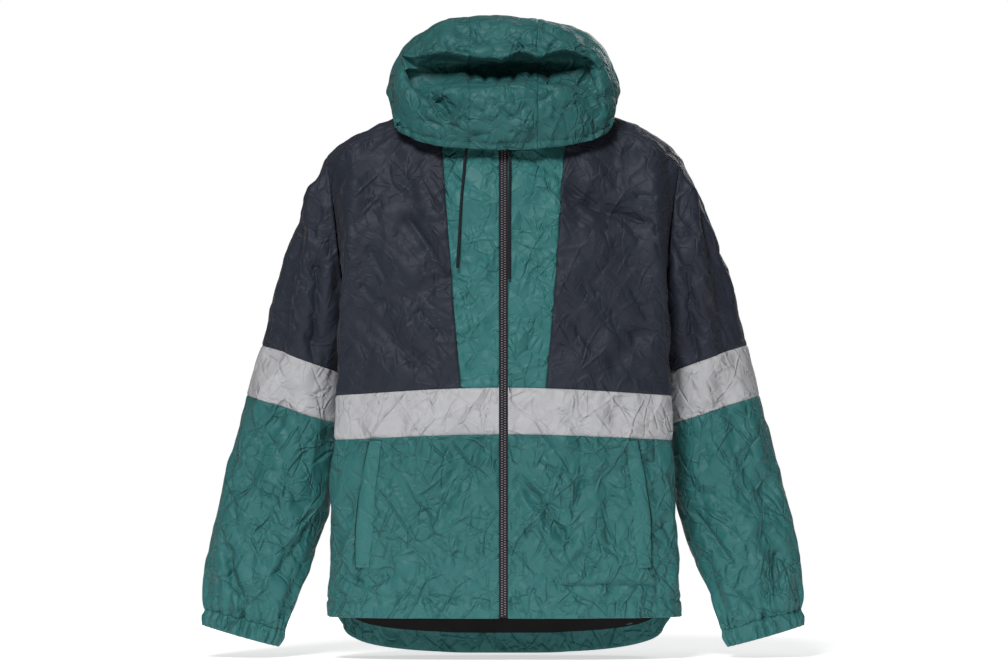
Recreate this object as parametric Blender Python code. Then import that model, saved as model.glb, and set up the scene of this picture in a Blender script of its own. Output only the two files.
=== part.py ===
"""Hooded windbreaker, filled out as when worn, with a zipped front and elastic cuffs.

Metres, +Z up. The front faces -Y and the wearer's left is at +X. The origin is the middle
of the neck opening, level with the points where the neck meets the shoulders.

The cloth is one surface, cut into its pieces. Two coordinates place a point on it:
  across  0 at the zip or the middle of the back, 1 at the strip's edge or the neck point,
          2 at the side seam or the armhole
  height  the level of the ring in metres up to CHEST, then CHEST + 0 to 1 up to the top edge
"""
import math

import bpy
import numpy as np

# Cloth and seams
WALL = 0.0013            # thickness of one layer of cloth, with its crinkle
SEAM = 0.0003            # gap between two pieces at their seam
CASING = 0.0026          # thickness where the hem is turned up

# Levels, from the neck points down
CHEST = -0.300           # middle of the ring where the shoulders' arches start
BAND_TOP = -0.412
BAND_BOTTOM = -0.477
HEM = -0.736             # front hem
HEM_CASING = 0.024       # height of the front's casing
TAIL_DROP = 0.054        # the back hem hangs lower in its middle
TAIL_CASING = 0.031
LINING = 0.0010
LINING_GAP = 0.0024      # the back lining hangs this far inside the back

# Centre front
ZIP_HALF = 0.0065        # from the middle to a front's edge
STRIP_LOW = 0.0585       # half width of the green strips at the band
STRIP_FLARE = 0.0858     # how fast that width grows upwards

# Neck
NECK_FRONT = (0.0, -0.097, -0.078)
SEAM_ANGLE = math.radians(71)    # the shoulder seam lies in front of the ridge
NECK_ANGLE_FRONT = math.radians(37)
NECK_ANGLE_BACK = math.radians(50)

# Rings of the body. half: half width at the front's outer fold, which stands at edge_y.
# side: the side seam. back_x, back_y: the back's rounded corner. droop: how far the ring
# hangs at the side seam.
SECTION = ("z", "droop", "half", "front", "edge_y", "side_x", "side_y", "back_x", "back_y", "back")
SECTIONS = (
    (-0.810, 0.000, 0.2470, 0.108, -0.040, 0.240, 0.030, 0.214, 0.080, 0.100),
    (-0.736, 0.000, 0.2460, 0.112, -0.043, 0.236, 0.026, 0.208, 0.080, 0.104),
    (-0.650, 0.004, 0.2440, 0.118, -0.046, 0.226, 0.022, 0.196, 0.082, 0.108),
    (-0.550, 0.008, 0.2410, 0.122, -0.050, 0.214, 0.020, 0.186, 0.084, 0.111),
    (-0.477, 0.010, 0.2370, 0.123, -0.052, 0.204, 0.020, 0.180, 0.085, 0.113),
    (-0.412, 0.013, 0.2345, 0.123, -0.054, 0.197, 0.024, 0.177, 0.086, 0.114),
    (-0.350, 0.028, 0.2335, 0.122, -0.056, 0.196, 0.030, 0.178, 0.087, 0.115),
    (-0.300, 0.045, 0.2335, 0.121, -0.056, 0.205, 0.035, 0.182, 0.087, 0.115),
)
RING_KNOTS = (0.0, 0.352, 0.597, 0.791, 1.0, 1.255, 1.627, 2.0)

# Shoulder ridge from the neck point to the armhole: share of the way, x, y, z
RIDGE = (
    (0.00, 0.0920, 0.000, -0.0020),
    (0.47, 0.1660, 0.000, -0.0360),
    (0.82, 0.2220, 0.002, -0.0620),
    (1.00, 0.2505, 0.004, -0.0880),
)

# Neckline behind the shoulder seam: across, x, y, z
NECK_BACK = (
    (0.00, 0.0000, 0.072, -0.014),
    (0.30, 0.0485, 0.063, -0.012),
    (0.60, 0.0810, 0.033, -0.006),
    (0.80, 0.0920, 0.000, -0.002),
)

# Armhole, from the underarm up to the shoulder seam: share of the way, x, y, z
ARMHOLE_FRONT = (
    (0.00, 0.2050, 0.035, -0.3450),
    (0.20, 0.2185, -0.004, -0.3120),
    (0.46, 0.2290, -0.032, -0.2450),
    (0.74, 0.2380, -0.040, -0.1700),
    (1.00, 0.2480, -0.029, -0.1010),
)
ARMHOLE_BACK = (
    (0.00, 0.2050, 0.035, -0.3450),
    (0.17, 0.2140, 0.070, -0.3050),
    (0.38, 0.2280, 0.086, -0.2350),
    (0.64, 0.2400, 0.072, -0.1550),
    (0.84, 0.2490, 0.034, -0.1000),
    (0.93, 0.2505, 0.004, -0.0880),
    (1.00, 0.2480, -0.029, -0.1010),
)

# Sleeve rings, each square to the arm: way down the outer edge, inner x and z, outer x and z,
# middle y, half depth
SLEEVE = (
    (0.283, 0.2260, -0.3935, 0.3440, -0.3530, 0.042, 0.070),
    (0.357, 0.2330, -0.4657, 0.3630, -0.4244, 0.044, 0.067),
    (0.486, 0.2475, -0.5940, 0.3955, -0.5495, 0.040, 0.062),
    (0.566, 0.2735, -0.6675, 0.4138, -0.6275, 0.030, 0.057),
    (0.619, 0.2925, -0.7167, 0.4215, -0.6800, 0.022, 0.050),
    (0.653, 0.3040, -0.7450, 0.4223, -0.7135, 0.016, 0.040),
    (0.667, 0.3080, -0.7558, 0.4195, -0.7260, 0.014, 0.031),
)
SLEEVE_CAP = 0.113       # where the cap's roundest ring lies
CAP_RISE = 0.008         # how far the cap stands out at the shoulder
CAP_FULL = 0.016         # and at the front and back

# Pocket welts: down, x and z of the outer edge, x and z of the inner edge
WELT = (
    (0.00, 0.1860, -0.4860, 0.1710, -0.4870),
    (0.35, 0.1975, -0.5450, 0.1785, -0.5460),
    (0.70, 0.2045, -0.6150, 0.1830, -0.6160),
    (1.00, 0.2055, -0.6630, 0.1890, -0.6640),
)
WELT_ROWS = 10
WELT_GAP = 0.00035
WELT_WALL = 0.0011

# Zip: half widths of its tapes and of its chain, and their depths behind the fronts' surface
TAPE_HALF = 0.0095
CHAIN_HALF = 0.0022
CHAIN_FOOT = 0.0030
CHAIN_DEPTH = 0.0002
TAPE_DEPTH = 0.0016
TAPE_BACK = 0.0024
COLLAR_INSET = 0.0007    # the zip lies this much deeper behind the hood's front edge
ZIP_FOOT = -0.7330

# Slider, measured from its pull's pin, up the zip and inward
PIN_PLACE = 0.45         # share of the zip's last straight stretch
PIN_OUT = 0.0027         # the pin stands this far in front of the chain
SLIDER = ((-0.0045, 0.0038), (-0.0045, 0.0009), (0.0045, 0.0009), (0.0045, 0.0038),
          (0.0034, 0.0038), (0.0034, 0.0023), (-0.0034, 0.0023), (-0.0034, 0.0038))
SLIDER_ENDS = (-0.0060, 0.0055)
BRIDGE = ((0.0045, 0.0012), (0.0045, -0.0007), (0.0030, -0.0021), (-0.0022, -0.0021),
          (-0.0037, -0.0007), (-0.0037, 0.0012), (-0.0024, 0.0012), (-0.0024, -0.0009),
          (0.0032, -0.0009), (0.0032, 0.0012))
BRIDGE_HALF = 0.0008
PULL_X = (-0.0025, -0.0014, 0.0014, 0.0025)
PULL_Z = (0.0005, -0.0005, -0.0046, -0.0090, -0.0250, -0.0265)
PULL_THICK = 0.0010
PULL_TIP = 0.6           # the pull narrows to this share of its width at its tip

# Drawcords: a row of points down each cord's middle
CORD = 0.0020            # half thickness
CORD_END = 0.0023        # and of the sealed ends
CORD_RIGHT = (
    (-0.0300, -0.0968, -0.0500),
    (-0.0400, -0.0973, -0.0620),
    (-0.0490, -0.0968, -0.0740),
    (-0.0530, -0.0968, -0.0880),
    (-0.0555, -0.1026, -0.1150),
    (-0.0585, -0.1095, -0.1480),
    (-0.0610, -0.1162, -0.1900),
    (-0.0640, -0.1216, -0.2450),
)
CORD_LEFT = (
    (0.0220, -0.0981, -0.0520),
    (0.0140, -0.1001, -0.0660),
    (0.0100, -0.1021, -0.0820),
    (0.0090, -0.1076, -0.1150),
    (0.0085, -0.1136, -0.1500),
    (0.0083, -0.1193, -0.2000),
    (0.0080, -0.1233, -0.2610),
)

CUFF_END = (0.3180, -0.7769, 0.4223, -0.7473)    # inner x and z, outer x and z of its hem
CUFF_DEPTH = 0.033
GATHER_DEPTH = 0.0022    # half the height of a gather, at the cuff and just above it

# Largest folds, each a straight soft trough (or ridge, where depth is positive):
# which face of the garment, x and z of its two ends, half width, depth
FOLD = ("face", "x_a", "z_a", "x_b", "z_b", "width", "depth")
FOLDS = (
    ("front", -0.040, -0.500, -0.108, -0.594, 0.017, -0.0055),
    ("front", 0.020, -0.538, 0.097, -0.627, 0.018, -0.0060),
    ("front", 0.097, -0.627, 0.150, -0.650, 0.016, -0.0050),
    ("front", 0.081, -0.684, 0.215, -0.700, 0.014, -0.0045),
    ("front", -0.215, -0.690, -0.150, -0.668, 0.016, -0.0045),
    ("front", -0.139, -0.169, -0.080, -0.270, 0.017, -0.0045),
    ("front", 0.087, -0.134, 0.192, -0.225, 0.018, -0.0050),
    ("front", -0.200, -0.300, -0.120, -0.380, 0.018, -0.0045),
    ("front", 0.205, -0.330, 0.150, -0.385, 0.018, -0.0045),
    ("back", -0.130, -0.150, -0.085, -0.300, 0.026, -0.0050),
    ("back", 0.135, -0.170, 0.075, -0.330, 0.026, -0.0050),
    ("back", -0.100, -0.520, -0.170, -0.660, 0.022, 0.0050),
    ("back", 0.060, -0.540, 0.150, -0.690, 0.022, 0.0050),
    ("front", -0.285, -0.180, -0.330, -0.380, 0.018, -0.0060),
    ("front", -0.300, -0.420, -0.372, -0.560, 0.018, -0.0060),
    ("front", -0.330, -0.560, -0.340, -0.680, 0.016, -0.0050),
    ("front", 0.290, -0.160, 0.318, -0.370, 0.018, -0.0060),
    ("front", 0.310, -0.400, 0.350, -0.560, 0.018, -0.0060),
    ("front", 0.368, -0.540, 0.385, -0.680, 0.016, -0.0050),
    ("back", -0.290, -0.200, -0.330, -0.420, 0.020, -0.0060),
    ("back", 0.290, -0.220, 0.340, -0.440, 0.020, -0.0060),
    ("back", -0.330, -0.470, -0.360, -0.660, 0.020, -0.0055),
    ("back", 0.325, -0.450, 0.370, -0.640, 0.020, -0.0055),
)
FLAT_MIDDLE = (0.026, 0.055)     # folds fade out between these distances from the zip

# Hood. Its shape follows the middle profile, drawn in towards an axis from side to side.
HOOD_HALF = 0.166        # half width
HOOD_AXIS = (0.0, -0.017)        # y and z of the axis
HOOD_POWER = 2.45        # how full the sides are
PANEL_HALF = 0.0485      # half width of the centre panel
# share of the rows from the brim to the back neck seam; y, z of the middle profile, which folds
# in deeply below the crown; y, z of the profile towards the sides, where the fold has run out;
# the side's outermost point; the fold under the side, which rests over the shoulder
HOOD = (
    # way   mid_y   mid_z   side_y  side_z  cap_x  cap_y   cap_z   under_x under_y under_z
    (0.00, -0.118, -0.080, -0.118, -0.080, 0.150, -0.066, -0.046, 0.106, -0.094, -0.020),
    (0.08, -0.131, -0.042, -0.131, -0.042, 0.156, -0.057, -0.032, 0.118, -0.079, -0.022),
    (0.17, -0.128, 0.002, -0.129, -0.006, 0.160, -0.045, -0.016, 0.127, -0.061, -0.022),
    (0.25, -0.106, 0.016, -0.124, 0.016, 0.162, -0.038, -0.008, 0.131, -0.047, -0.021),
    (0.33, -0.079, 0.0115, -0.118, 0.033, 0.163, -0.034, -0.004, 0.133, -0.035, -0.019),
    (0.375, -0.064, 0.0145, -0.114, 0.042, 0.163, -0.031, -0.002, 0.134, -0.030, -0.018),
    (0.42, -0.072, 0.0245, -0.110, 0.051, 0.164, -0.028, 0.000, 0.136, -0.025, -0.016),
    (0.50, -0.098, 0.048, -0.102, 0.064, 0.165, -0.020, 0.003, 0.137, -0.017, -0.012),
    (0.54, -0.098, 0.068, -0.094, 0.076, 0.165, -0.014, 0.004, 0.137, -0.011, -0.010),
    (0.60, -0.067, 0.097, -0.066, 0.096, 0.166, -0.008, 0.004, 0.138, -0.006, -0.009),
    (0.68, -0.010, 0.110, -0.010, 0.110, 0.166, 0.004, 0.003, 0.138, 0.006, -0.009),
    (0.77, 0.068, 0.100, 0.068, 0.100, 0.164, 0.020, 0.000, 0.134, 0.022, -0.013),
    (0.85, 0.124, 0.055, 0.124, 0.055, 0.156, 0.042, -0.010, 0.126, 0.042, -0.022),
    (0.92, 0.143, -0.002, 0.143, -0.002, 0.138, 0.070, -0.026, 0.112, 0.062, -0.030),
    (0.97, 0.128, -0.040, 0.128, -0.040, 0.100, 0.092, -0.034, 0.086, 0.074, -0.026),
    (1.00, 0.072, -0.014, 0.072, -0.014, 0.061, 0.052, -0.0095, 0.067, 0.046, -0.0085),
)
FOLD_FADE = (0.058, 0.152)       # the fold below the crown fades out between these half widths
HOOD_LIP = (0.0066, -0.0915, -0.031)     # top of the zip on the hood's front edge
COLLAR_HEIGHT = (0.032, 0.018)   # at the zip, and at the shoulder
COLLAR_BACK = 0.006      # it leans back between the two
COLLAR = 0.30            # the hood stands up like a collar for this share of its rows
HOOD_KNOTS = (0.0, 0.18, 0.34, 0.48, 0.62, 0.86, 1.0)

# How finely each stretch is divided
STRIP_STEPS = 3
CHEST_STEPS = 7          # also the steps along the shoulder seam
ARMHOLE_FRONT_STEPS = 8
ARMHOLE_BACK_STEPS = 10
NECK_STEPS = (0.0, 0.15, 0.30, 0.48, 0.66, 0.82, 1.0)
HOOD_STEPS = 4           # rows of the hood to each step of the neckline
HOOD_SIDE_STEPS = 12

# Colours (linear) and finishes
CLOTHS = {
    "green": ((0.050, 0.200, 0.170, 1.0), 0.48),
    "navy": ((0.040, 0.046, 0.062, 1.0), 0.50),
    "grey": ((0.480, 0.470, 0.480, 1.0), 0.52),
    "black": ((0.012, 0.010, 0.011, 1.0), 0.80),
    "tape": ((0.045, 0.040, 0.048, 1.0), 0.60),
    "cord": ((0.020, 0.022, 0.028, 1.0), 0.70),
    "metal": ((0.060, 0.058, 0.062, 1.0), 0.35),
}


def spline(knots, values, t, flat=False):
    """Smooth curve through values at the knots, read at t; each value may be an array like t."""
    t = np.asarray(t, float)
    k = np.asarray(knots, float)
    v = np.stack([np.broadcast_to(np.asarray(value, float), t.shape) for value in values])
    step = np.diff(k).reshape((-1,) + (1,) * t.ndim)
    rise = (v[1:] - v[:-1]) / step
    slope = np.empty_like(v)
    slope[1:-1] = (rise[:-1] * step[1:] + rise[1:] * step[:-1]) / (step[1:] + step[:-1])
    slope[0] = 0.0 if flat else rise[0]
    slope[-1] = 0.0 if flat else rise[-1]
    i = np.clip(np.searchsorted(k, t, side="right") - 1, 0, len(k) - 2)
    h = np.diff(k)[i]
    s = (t - k[i]) / h

    def take(rows, at):
        return np.take_along_axis(rows, at[None], 0)[0]

    return ((1 + 2 * s) * (1 - s) ** 2 * take(v, i) + s * (1 - s) ** 2 * h * take(slope, i)
            + s * s * (3 - 2 * s) * take(v, i + 1) + s * s * (s - 1) * h * take(slope, i + 1))


def route(table, t):
    """Smooth 3-D curve through a table's rows, whose first column is the knot."""
    knots = [row[0] for row in table]
    return np.stack([spline(knots, [row[axis] for row in table], t) for axis in (1, 2, 3)], -1)


def unit(vectors):
    return vectors / np.linalg.norm(vectors, axis=-1, keepdims=True)


def ease(t):
    t = np.clip(t, 0.0, 1.0)
    return t * t * (3 - 2 * t)


def mix(a, b, t):
    return a + (b - a) * t


def point(x, y, z):
    return np.stack(np.broadcast_arrays(x, y, z), -1)


def size(name, z):
    """A size of the body's ring at level z."""
    column = SECTION.index(name)
    return spline([row[0] for row in SECTIONS], [row[column] for row in SECTIONS], z)


def torso(around, z):
    """The body's ring at level z: around 0 is centre front, 1 the side seam, 2 centre back."""
    half, front, back = size("half", z), size("front", z), size("back", z)
    back_x = size("back_x", z)
    xs = (0.0, 0.5 * half, 0.82 * half, half, size("side_x", z), back_x, 0.53 * back_x, 0.0)
    ys = (-front, -0.955 * front, -0.745 * front, size("edge_y", z), size("side_y", z),
          size("back_y", z), 0.94 * back, back)
    hang = size("droop", z) * np.sin(0.5 * math.pi * around) ** 2
    return point(spline(RING_KNOTS, xs, around), spline(RING_KNOTS, ys, around, flat=True), z - hang)


def around_front(across, z):
    """Ring coordinate of a front's column: 0 the zip, 1 the strip's edge, 2 the side seam."""
    reach = RING_KNOTS[1] / (0.5 * size("half", z))
    zip_edge = reach * ZIP_HALF
    strip = reach * (STRIP_LOW + STRIP_FLARE * np.maximum(z - BAND_TOP, 0.0))
    return np.where(across < 1, mix(zip_edge, strip, across), mix(strip, 1.0, across - 1))


NECK_AROUND = 0.30       # the back's columns below the neckline take this share of its ring


def around_back(across):
    share = np.where(across < 1, NECK_AROUND * across, mix(NECK_AROUND, 1.0, across - 1))
    return 2.0 - share


def arch(base, top, angle):
    """A quarter of an ellipse that leaves base upwards and reaches top at 90 degrees."""
    x = mix(base[..., 0], top[..., 0], np.sin(angle))
    y = mix(top[..., 1], base[..., 1], np.cos(angle))
    z = mix(base[..., 2], top[..., 2], np.sin(angle))
    return point(x, y, z)


def part_arch(base, end, angle, last):
    """The same arch cut short: it reaches end at the angle last."""
    up = np.sin(angle) / np.sin(last)
    over = (1 - np.cos(angle)) / (1 - np.cos(last))
    x = mix(base[..., 0], end[..., 0], up)
    y = mix(base[..., 1], end[..., 1], over)
    z = mix(base[..., 2], end[..., 2], up)
    return point(x, y, z)


def neck_corner():
    """Where the neckline meets the shoulder seam."""
    base = torso(around_front(np.array(1.0), np.array(CHEST)), np.array(CHEST))
    return arch(base, route(RIDGE, np.array(0.0)), SEAM_ANGLE)


def neckline_front(across):
    corner = neck_corner()
    x = mix(ZIP_HALF, corner[0], across)
    bend = 0.97
    rise = (1 - np.sqrt(1 - (bend * x / corner[0]) ** 2)) / (1 - math.sqrt(1 - bend ** 2))
    return point(x, mix(NECK_FRONT[1], corner[1], rise), mix(NECK_FRONT[2], corner[2], rise))


def neckline_back(across):
    corner = neck_corner()
    return route(NECK_BACK + ((1.0, *corner),), across)


def front_upper(across, up):
    z = np.full(np.shape(across), CHEST)
    base = torso(around_front(across, z), z)
    shoulder = np.clip(across - 1, 0.0, 1.0)
    over = arch(base, route(RIDGE, shoulder), up * SEAM_ANGLE)
    last = mix(NECK_ANGLE_FRONT, SEAM_ANGLE, np.clip(across, 0.0, 1.0))
    neck = part_arch(base, neckline_front(np.clip(across, 0.0, 1.0)), up * last, last)
    return np.where((across < 1)[..., None], neck, over)


def front(across, height):
    """The fronts' surface on the wearer's left."""
    across, height = np.broadcast_arrays(np.asarray(across, float), np.asarray(height, float))
    low = np.minimum(height, CHEST)
    lower = torso(around_front(across, low), low)
    up = np.clip(height - CHEST, 0.0, None)
    upper = front_upper(across, up)
    edge = front_upper(np.full_like(across, 2.0), up)
    pull = ease((across - 1.35) / 0.65)[..., None]
    upper = upper + (route(ARMHOLE_FRONT, up) - edge) * pull
    return np.where((height > CHEST)[..., None], upper, lower)


BACK_KNOTS = (0.0, 0.42, 0.71, 0.87, 1.0)
BACK_ANGLES = (0.0, math.radians(32), math.radians(60), math.radians(90))
RIDGE_SHIFT = 0.07       # the back's columns cross the ridge a little further out
RIDGE_START = 0.62       # the first column that bends over the ridge


def back_upper_surface(across, up):
    base = torso(around_back(across), np.full(np.shape(across), CHEST))
    shoulder = np.clip(across - 1, 0.0, 1.0)
    beside_neck = np.clip((across - RIDGE_START) / (1 - RIDGE_START), 0.0, 1.0)
    ridge = route(RIDGE, mix(RIDGE_SHIFT * beside_neck, 1.0, shoulder))
    neck_across = np.clip(across, 0.0, 1.0)
    neck_end = neckline_back(neck_across)
    seam = front(np.clip(across, 1.0, 2.0), np.full(np.shape(across), CHEST + 1.0))
    end = np.where((across < 1)[..., None], neck_end, seam)
    over = ease(beside_neck)[..., None]
    stops = []
    for knot, angle in zip(BACK_KNOTS, BACK_ANGLES):
        straight = part_arch(base, neck_end, knot * NECK_ANGLE_BACK, NECK_ANGLE_BACK)
        stops.append(mix(straight, arch(base, ridge, angle), over))
    stops.append(end)
    return np.stack([spline(BACK_KNOTS, [stop[..., axis] for stop in stops], up)
                     for axis in range(3)], -1)


def back(across, height):
    """The back's surface on the wearer's left, up over the shoulder to the forward seam."""
    across, height = np.broadcast_arrays(np.asarray(across, float), np.asarray(height, float))
    low = np.minimum(height, CHEST)
    lower = torso(around_back(across), low)
    up = np.clip(height - CHEST, 0.0, None)
    upper = back_upper_surface(across, up)
    edge = back_upper_surface(np.full_like(across, 2.0), up)
    pull = ease((across - 1.25) / 0.75)[..., None]
    upper = upper + (route(ARMHOLE_BACK, up) - edge) * pull
    return np.where((height > CHEST)[..., None], upper, lower)


def sleeve(loop, turn, down):
    """The sleeve: loop is the armhole's point of the column, turn its angle from the outer
    edge through the front, down the way along the outer edge."""
    knots = [0.0, SLEEVE_CAP] + [row[0] for row in SLEEVE]
    rings = []
    for _, inner_x, inner_z, outer_x, outer_z, y, depth in SLEEVE:
        across = 0.5 * (1 + np.cos(turn))
        rings.append(point(mix(inner_x, outer_x, across), y - depth * np.sin(turn),
                           mix(inner_z, outer_z, across)))
    stand_out = CAP_RISE * np.maximum(np.cos(turn), 0.0) + CAP_FULL * np.abs(np.sin(turn))
    outward = np.maximum(np.cos(turn), 0.0)
    bulge = point(stand_out * 0.956 * outward, -stand_out * np.sin(turn),
                  stand_out * 0.292 * outward)
    cap = mix(loop, rings[0], SLEEVE_CAP / SLEEVE[0][0]) + bulge
    stops = [loop, cap] + rings
    return np.stack([spline(knots, [stop[..., axis] for stop in stops], down)
                     for axis in range(3)], -1)


def hood_size(column, way):
    return spline([row[0] for row in HOOD], [row[column] for row in HOOD], way)


def hood_profile(x, way):
    """The hood over its middle: the profile drawn in towards the axis as x grows."""
    draw = (1 - np.minimum(np.abs(x) / HOOD_HALF, 0.999) ** HOOD_POWER) ** (1 / HOOD_POWER)
    # the profile keeps its full size at the neck seam, where the centre panel ends flat
    draw = mix(draw, 1.0, ease((way - 0.93) / 0.07) * (np.abs(x) <= PANEL_HALF))
    aside = ease((np.abs(x) - FOLD_FADE[0]) / (FOLD_FADE[1] - FOLD_FADE[0]))
    profile_y = mix(hood_size(1, way), hood_size(3, way), aside)
    profile_z = mix(hood_size(2, way), hood_size(4, way), aside)
    y = HOOD_AXIS[0] + draw * (profile_y - HOOD_AXIS[0])
    z = HOOD_AXIS[1] + draw * (profile_z - HOOD_AXIS[1])
    return point(x, y, z)


def hood_neck(way, neck_points):
    """A point on the neck seam's straight steps, from the zip to the back."""
    place = np.clip(way, 0.0, 1.0) * (len(neck_points) - 1)
    i = np.minimum(place.astype(int), len(neck_points) - 2)
    share = (place - i)[..., None]
    return mix(neck_points[i], neck_points[i + 1], share)


def hood_centre(across, way):
    """Centre panel: across runs from -1 to 1."""
    x = across * PANEL_HALF
    at = hood_profile(x, way)
    seam = neckline_back(np.abs(across) * NECK_STEPS[2])
    end = point(np.sign(across) * seam[..., 0], seam[..., 1], seam[..., 2])
    start = hood_profile(x, np.ones_like(x))
    return at + (end - start) * (ease((way - 0.93) / 0.07) ** 2)[..., None]


def hood_side(across, way, neck_points):
    """Side panel on the wearer's left: across 0 is its seam with the centre panel, 1 the neck."""
    seam = hood_centre(np.ones_like(across), way)
    cap = point(hood_size(5, way), hood_size(6, way), hood_size(7, way))
    under = point(hood_size(8, way), hood_size(9, way), hood_size(10, way))
    neck = hood_neck(way, neck_points)
    fill = 1 - ease((way - 0.90) / 0.10)[..., None]
    stops = [seam]
    for share in (0.42, 0.80):
        x = mix(PANEL_HALF, cap[..., 0], share)
        straight = mix(seam, cap, share)
        stops.append(mix(straight, hood_profile(x, way), fill))
    stand = mix(*COLLAR_HEIGHT, ease(2 * way)) * (1 - ease((way - 0.8) / 0.2))
    back = COLLAR_BACK * ease((way - 0.1) / 0.25) * (1 - ease((way - 0.36) / 0.3))
    rise = mix(neck, under, 0.25) + point(0.0, back, stand)
    lip = (np.clip(1 - way / COLLAR, 0.0, 1.0) ** 1.5)[..., None]
    rise = mix(rise, np.array(HOOD_LIP), lip)
    stops += [cap, under, rise, neck]
    shape = np.stack([spline(HOOD_KNOTS, [stop[..., axis] for stop in stops], across)
                      for axis in range(3)], -1)
    shape[..., 0] = np.maximum(shape[..., 0], ZIP_HALF)
    # the last row lies along one straight step of the neckline
    return np.where((way > 0.999)[..., None], mix(seam, neck, across[..., None]), shape)


def normals(grid, closed=False):
    """Unit normals of a grid of points, rows by columns: the mean of the cells around each."""
    if closed:
        grid = np.concatenate([grid[:, -1:], grid, grid[:, :1]], 1)
    rising = grid[1:, 1:] - grid[:-1, :-1]
    falling = grid[1:, :-1] - grid[:-1, 1:]
    cell = unit(np.cross(rising, falling))
    columns = cell[:, 1:] + cell[:, :-1]
    if not closed:
        columns = np.concatenate([cell[:, :1], columns, cell[:, -1:]], 1)
    return unit(np.concatenate([columns[:1], columns[1:] + columns[:-1], columns[-1:]]))


def surface_normals(surface, a, b, step_a=0.004, step_b=0.002):
    """Unit normals read from the surface itself, so that two pieces agree at their seam."""
    along = surface(a + step_a, b) - surface(a - step_a, b)
    up = surface(a, b + step_b) - surface(a, b - step_b)
    return unit(np.cross(along, up))


def material(name):
    colour, roughness = CLOTHS[name]
    found = bpy.data.materials.get(name)
    if found is None:
        found = bpy.data.materials.new(name)
        found.use_nodes = True
        shader = found.node_tree.nodes["Principled BSDF"]
        shader.inputs["Base Color"].default_value = colour
        shader.inputs["Roughness"].default_value = roughness
        shader.inputs["Metallic"].default_value = 1.0 if name == "metal" else 0.0
        found.diffuse_color = colour
    return found


def add_object(name, cloth, vertices, faces):
    mesh = bpy.data.meshes.new(name)
    mesh.from_pydata([tuple(float(v) for v in vertex) for vertex in vertices], [], faces)
    mesh.validate()
    mesh.update()
    mesh.materials.append(material(cloth))
    mesh.shade_smooth()
    mesh.set_sharp_from_angle(angle=math.radians(50))
    made = bpy.data.objects.new(name, mesh)
    bpy.context.scene.collection.objects.link(made)
    return made


def seam_shift(grid, edges):
    """How far each edge point is drawn back from its seam: low, high, left and right edges."""
    shift = np.zeros_like(grid)
    places = {"low": (0, 1), "high": (-1, -2)}
    for edge, (at, inner) in places.items():
        if edge in edges:
            shift[at] += 0.5 * SEAM * unit(grid[inner] - grid[at])
    places = {"left": (0, 1), "right": (-1, -2)}
    for edge, (at, inner) in places.items():
        if edge in edges:
            shift[:, at] += 0.5 * SEAM * unit(grid[:, inner] - grid[:, at])
    return shift


def fold_depth(places, normal):
    """How far the largest folds move each place along its normal."""
    x, z = places[..., 0], places[..., 2]
    total = np.zeros(x.shape)
    for face, x_a, z_a, x_b, z_b, width, depth in FOLDS:
        along_x, along_z = x_b - x_a, z_b - z_a
        length = math.hypot(along_x, along_z)
        share = ((x - x_a) * along_x + (z - z_a) * along_z) / length ** 2
        aside = ((x - x_a) * along_z - (z - z_a) * along_x) / length
        taper = ease(share * 4 + 0.5) * ease((1 - share) * 4 + 0.5)
        toward = -normal[..., 1] if face == "front" else normal[..., 1]
        total += depth * np.exp(-(aside / width) ** 2) * taper * ease(2 * toward)
    low, high = FLAT_MIDDLE
    middle = np.where(places[..., 1] < 0, ease((np.abs(x) - low) / (high - low)), 1.0)
    return total * middle


def wall(name, cloth, grid, normal, shift, thickness=WALL, closed=False, outset=0.0):
    """A closed wall of cloth between the grid of outer points and the same grid moved in."""
    if not name.startswith("hood"):
        grid = grid + normal * fold_depth(grid, normal)[..., None]
    thick = np.broadcast_to(np.asarray(thickness, float), grid.shape[:2])[..., None]
    outer = grid + normal * outset + shift
    inner = grid + normal * (outset - thick) + shift
    rows, columns = grid.shape[:2]
    count = rows * columns
    faces = []
    last = columns if closed else columns - 1

    def at(row, column):
        return row * columns + column % columns

    def strip(a, b, turned):
        c, d = b + count, a + count
        return [(a, c, b), (a, d, c)] if turned else [(a, b, c), (a, c, d)]

    beside = np.roll(grid, -1, 1)
    first = np.linalg.norm(beside[1:] - grid[:-1], axis=-1)
    second = np.linalg.norm(grid[1:] - beside[:-1], axis=-1)
    for row in range(rows - 1):
        for column in range(last):
            a, b = at(row, column), at(row, column + 1)
            c, d = at(row + 1, column + 1), at(row + 1, column)
            # each step of the grid is split along its shorter diagonal
            if first[row, column] <= second[row, column]:
                halves = ((a, b, c), (a, c, d))
            else:
                halves = ((a, b, d), (b, c, d))
            faces += halves
            faces += [(i + count, k + count, j + count) for i, j, k in halves]
    for column in range(last):
        faces += strip(at(0, column), at(0, column + 1), True)
        faces += strip(at(rows - 1, column), at(rows - 1, column + 1), False)
    if not closed:
        for row in range(rows - 1):
            faces += strip(at(row, 0), at(row + 1, 0), False)
            faces += strip(at(row, columns - 1), at(row + 1, columns - 1), True)
    vertices = np.concatenate([outer.reshape(-1, 3), inner.reshape(-1, 3)])
    return add_object(name, cloth, vertices, faces)


def flip(grid):
    """The same grid on the wearer's right, with its columns in reverse so it still faces out."""
    mirrored = grid[:, ::-1].copy()
    mirrored[..., 0] *= -1
    return mirrored


def both_sides(name, cloth, grid, normal, shift, thickness=WALL, **settings):
    thickness = np.broadcast_to(np.asarray(thickness, float), grid.shape[:2])
    wall(name + "_left", cloth, grid, normal, shift, thickness, **settings)
    wall(name + "_right", cloth, flip(grid), flip(normal), flip(shift), thickness[:, ::-1], **settings)


def front_grid(columns, rows):
    across, height = np.meshgrid(columns, rows)
    return front(across, height), surface_normals(front, across, height)


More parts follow.
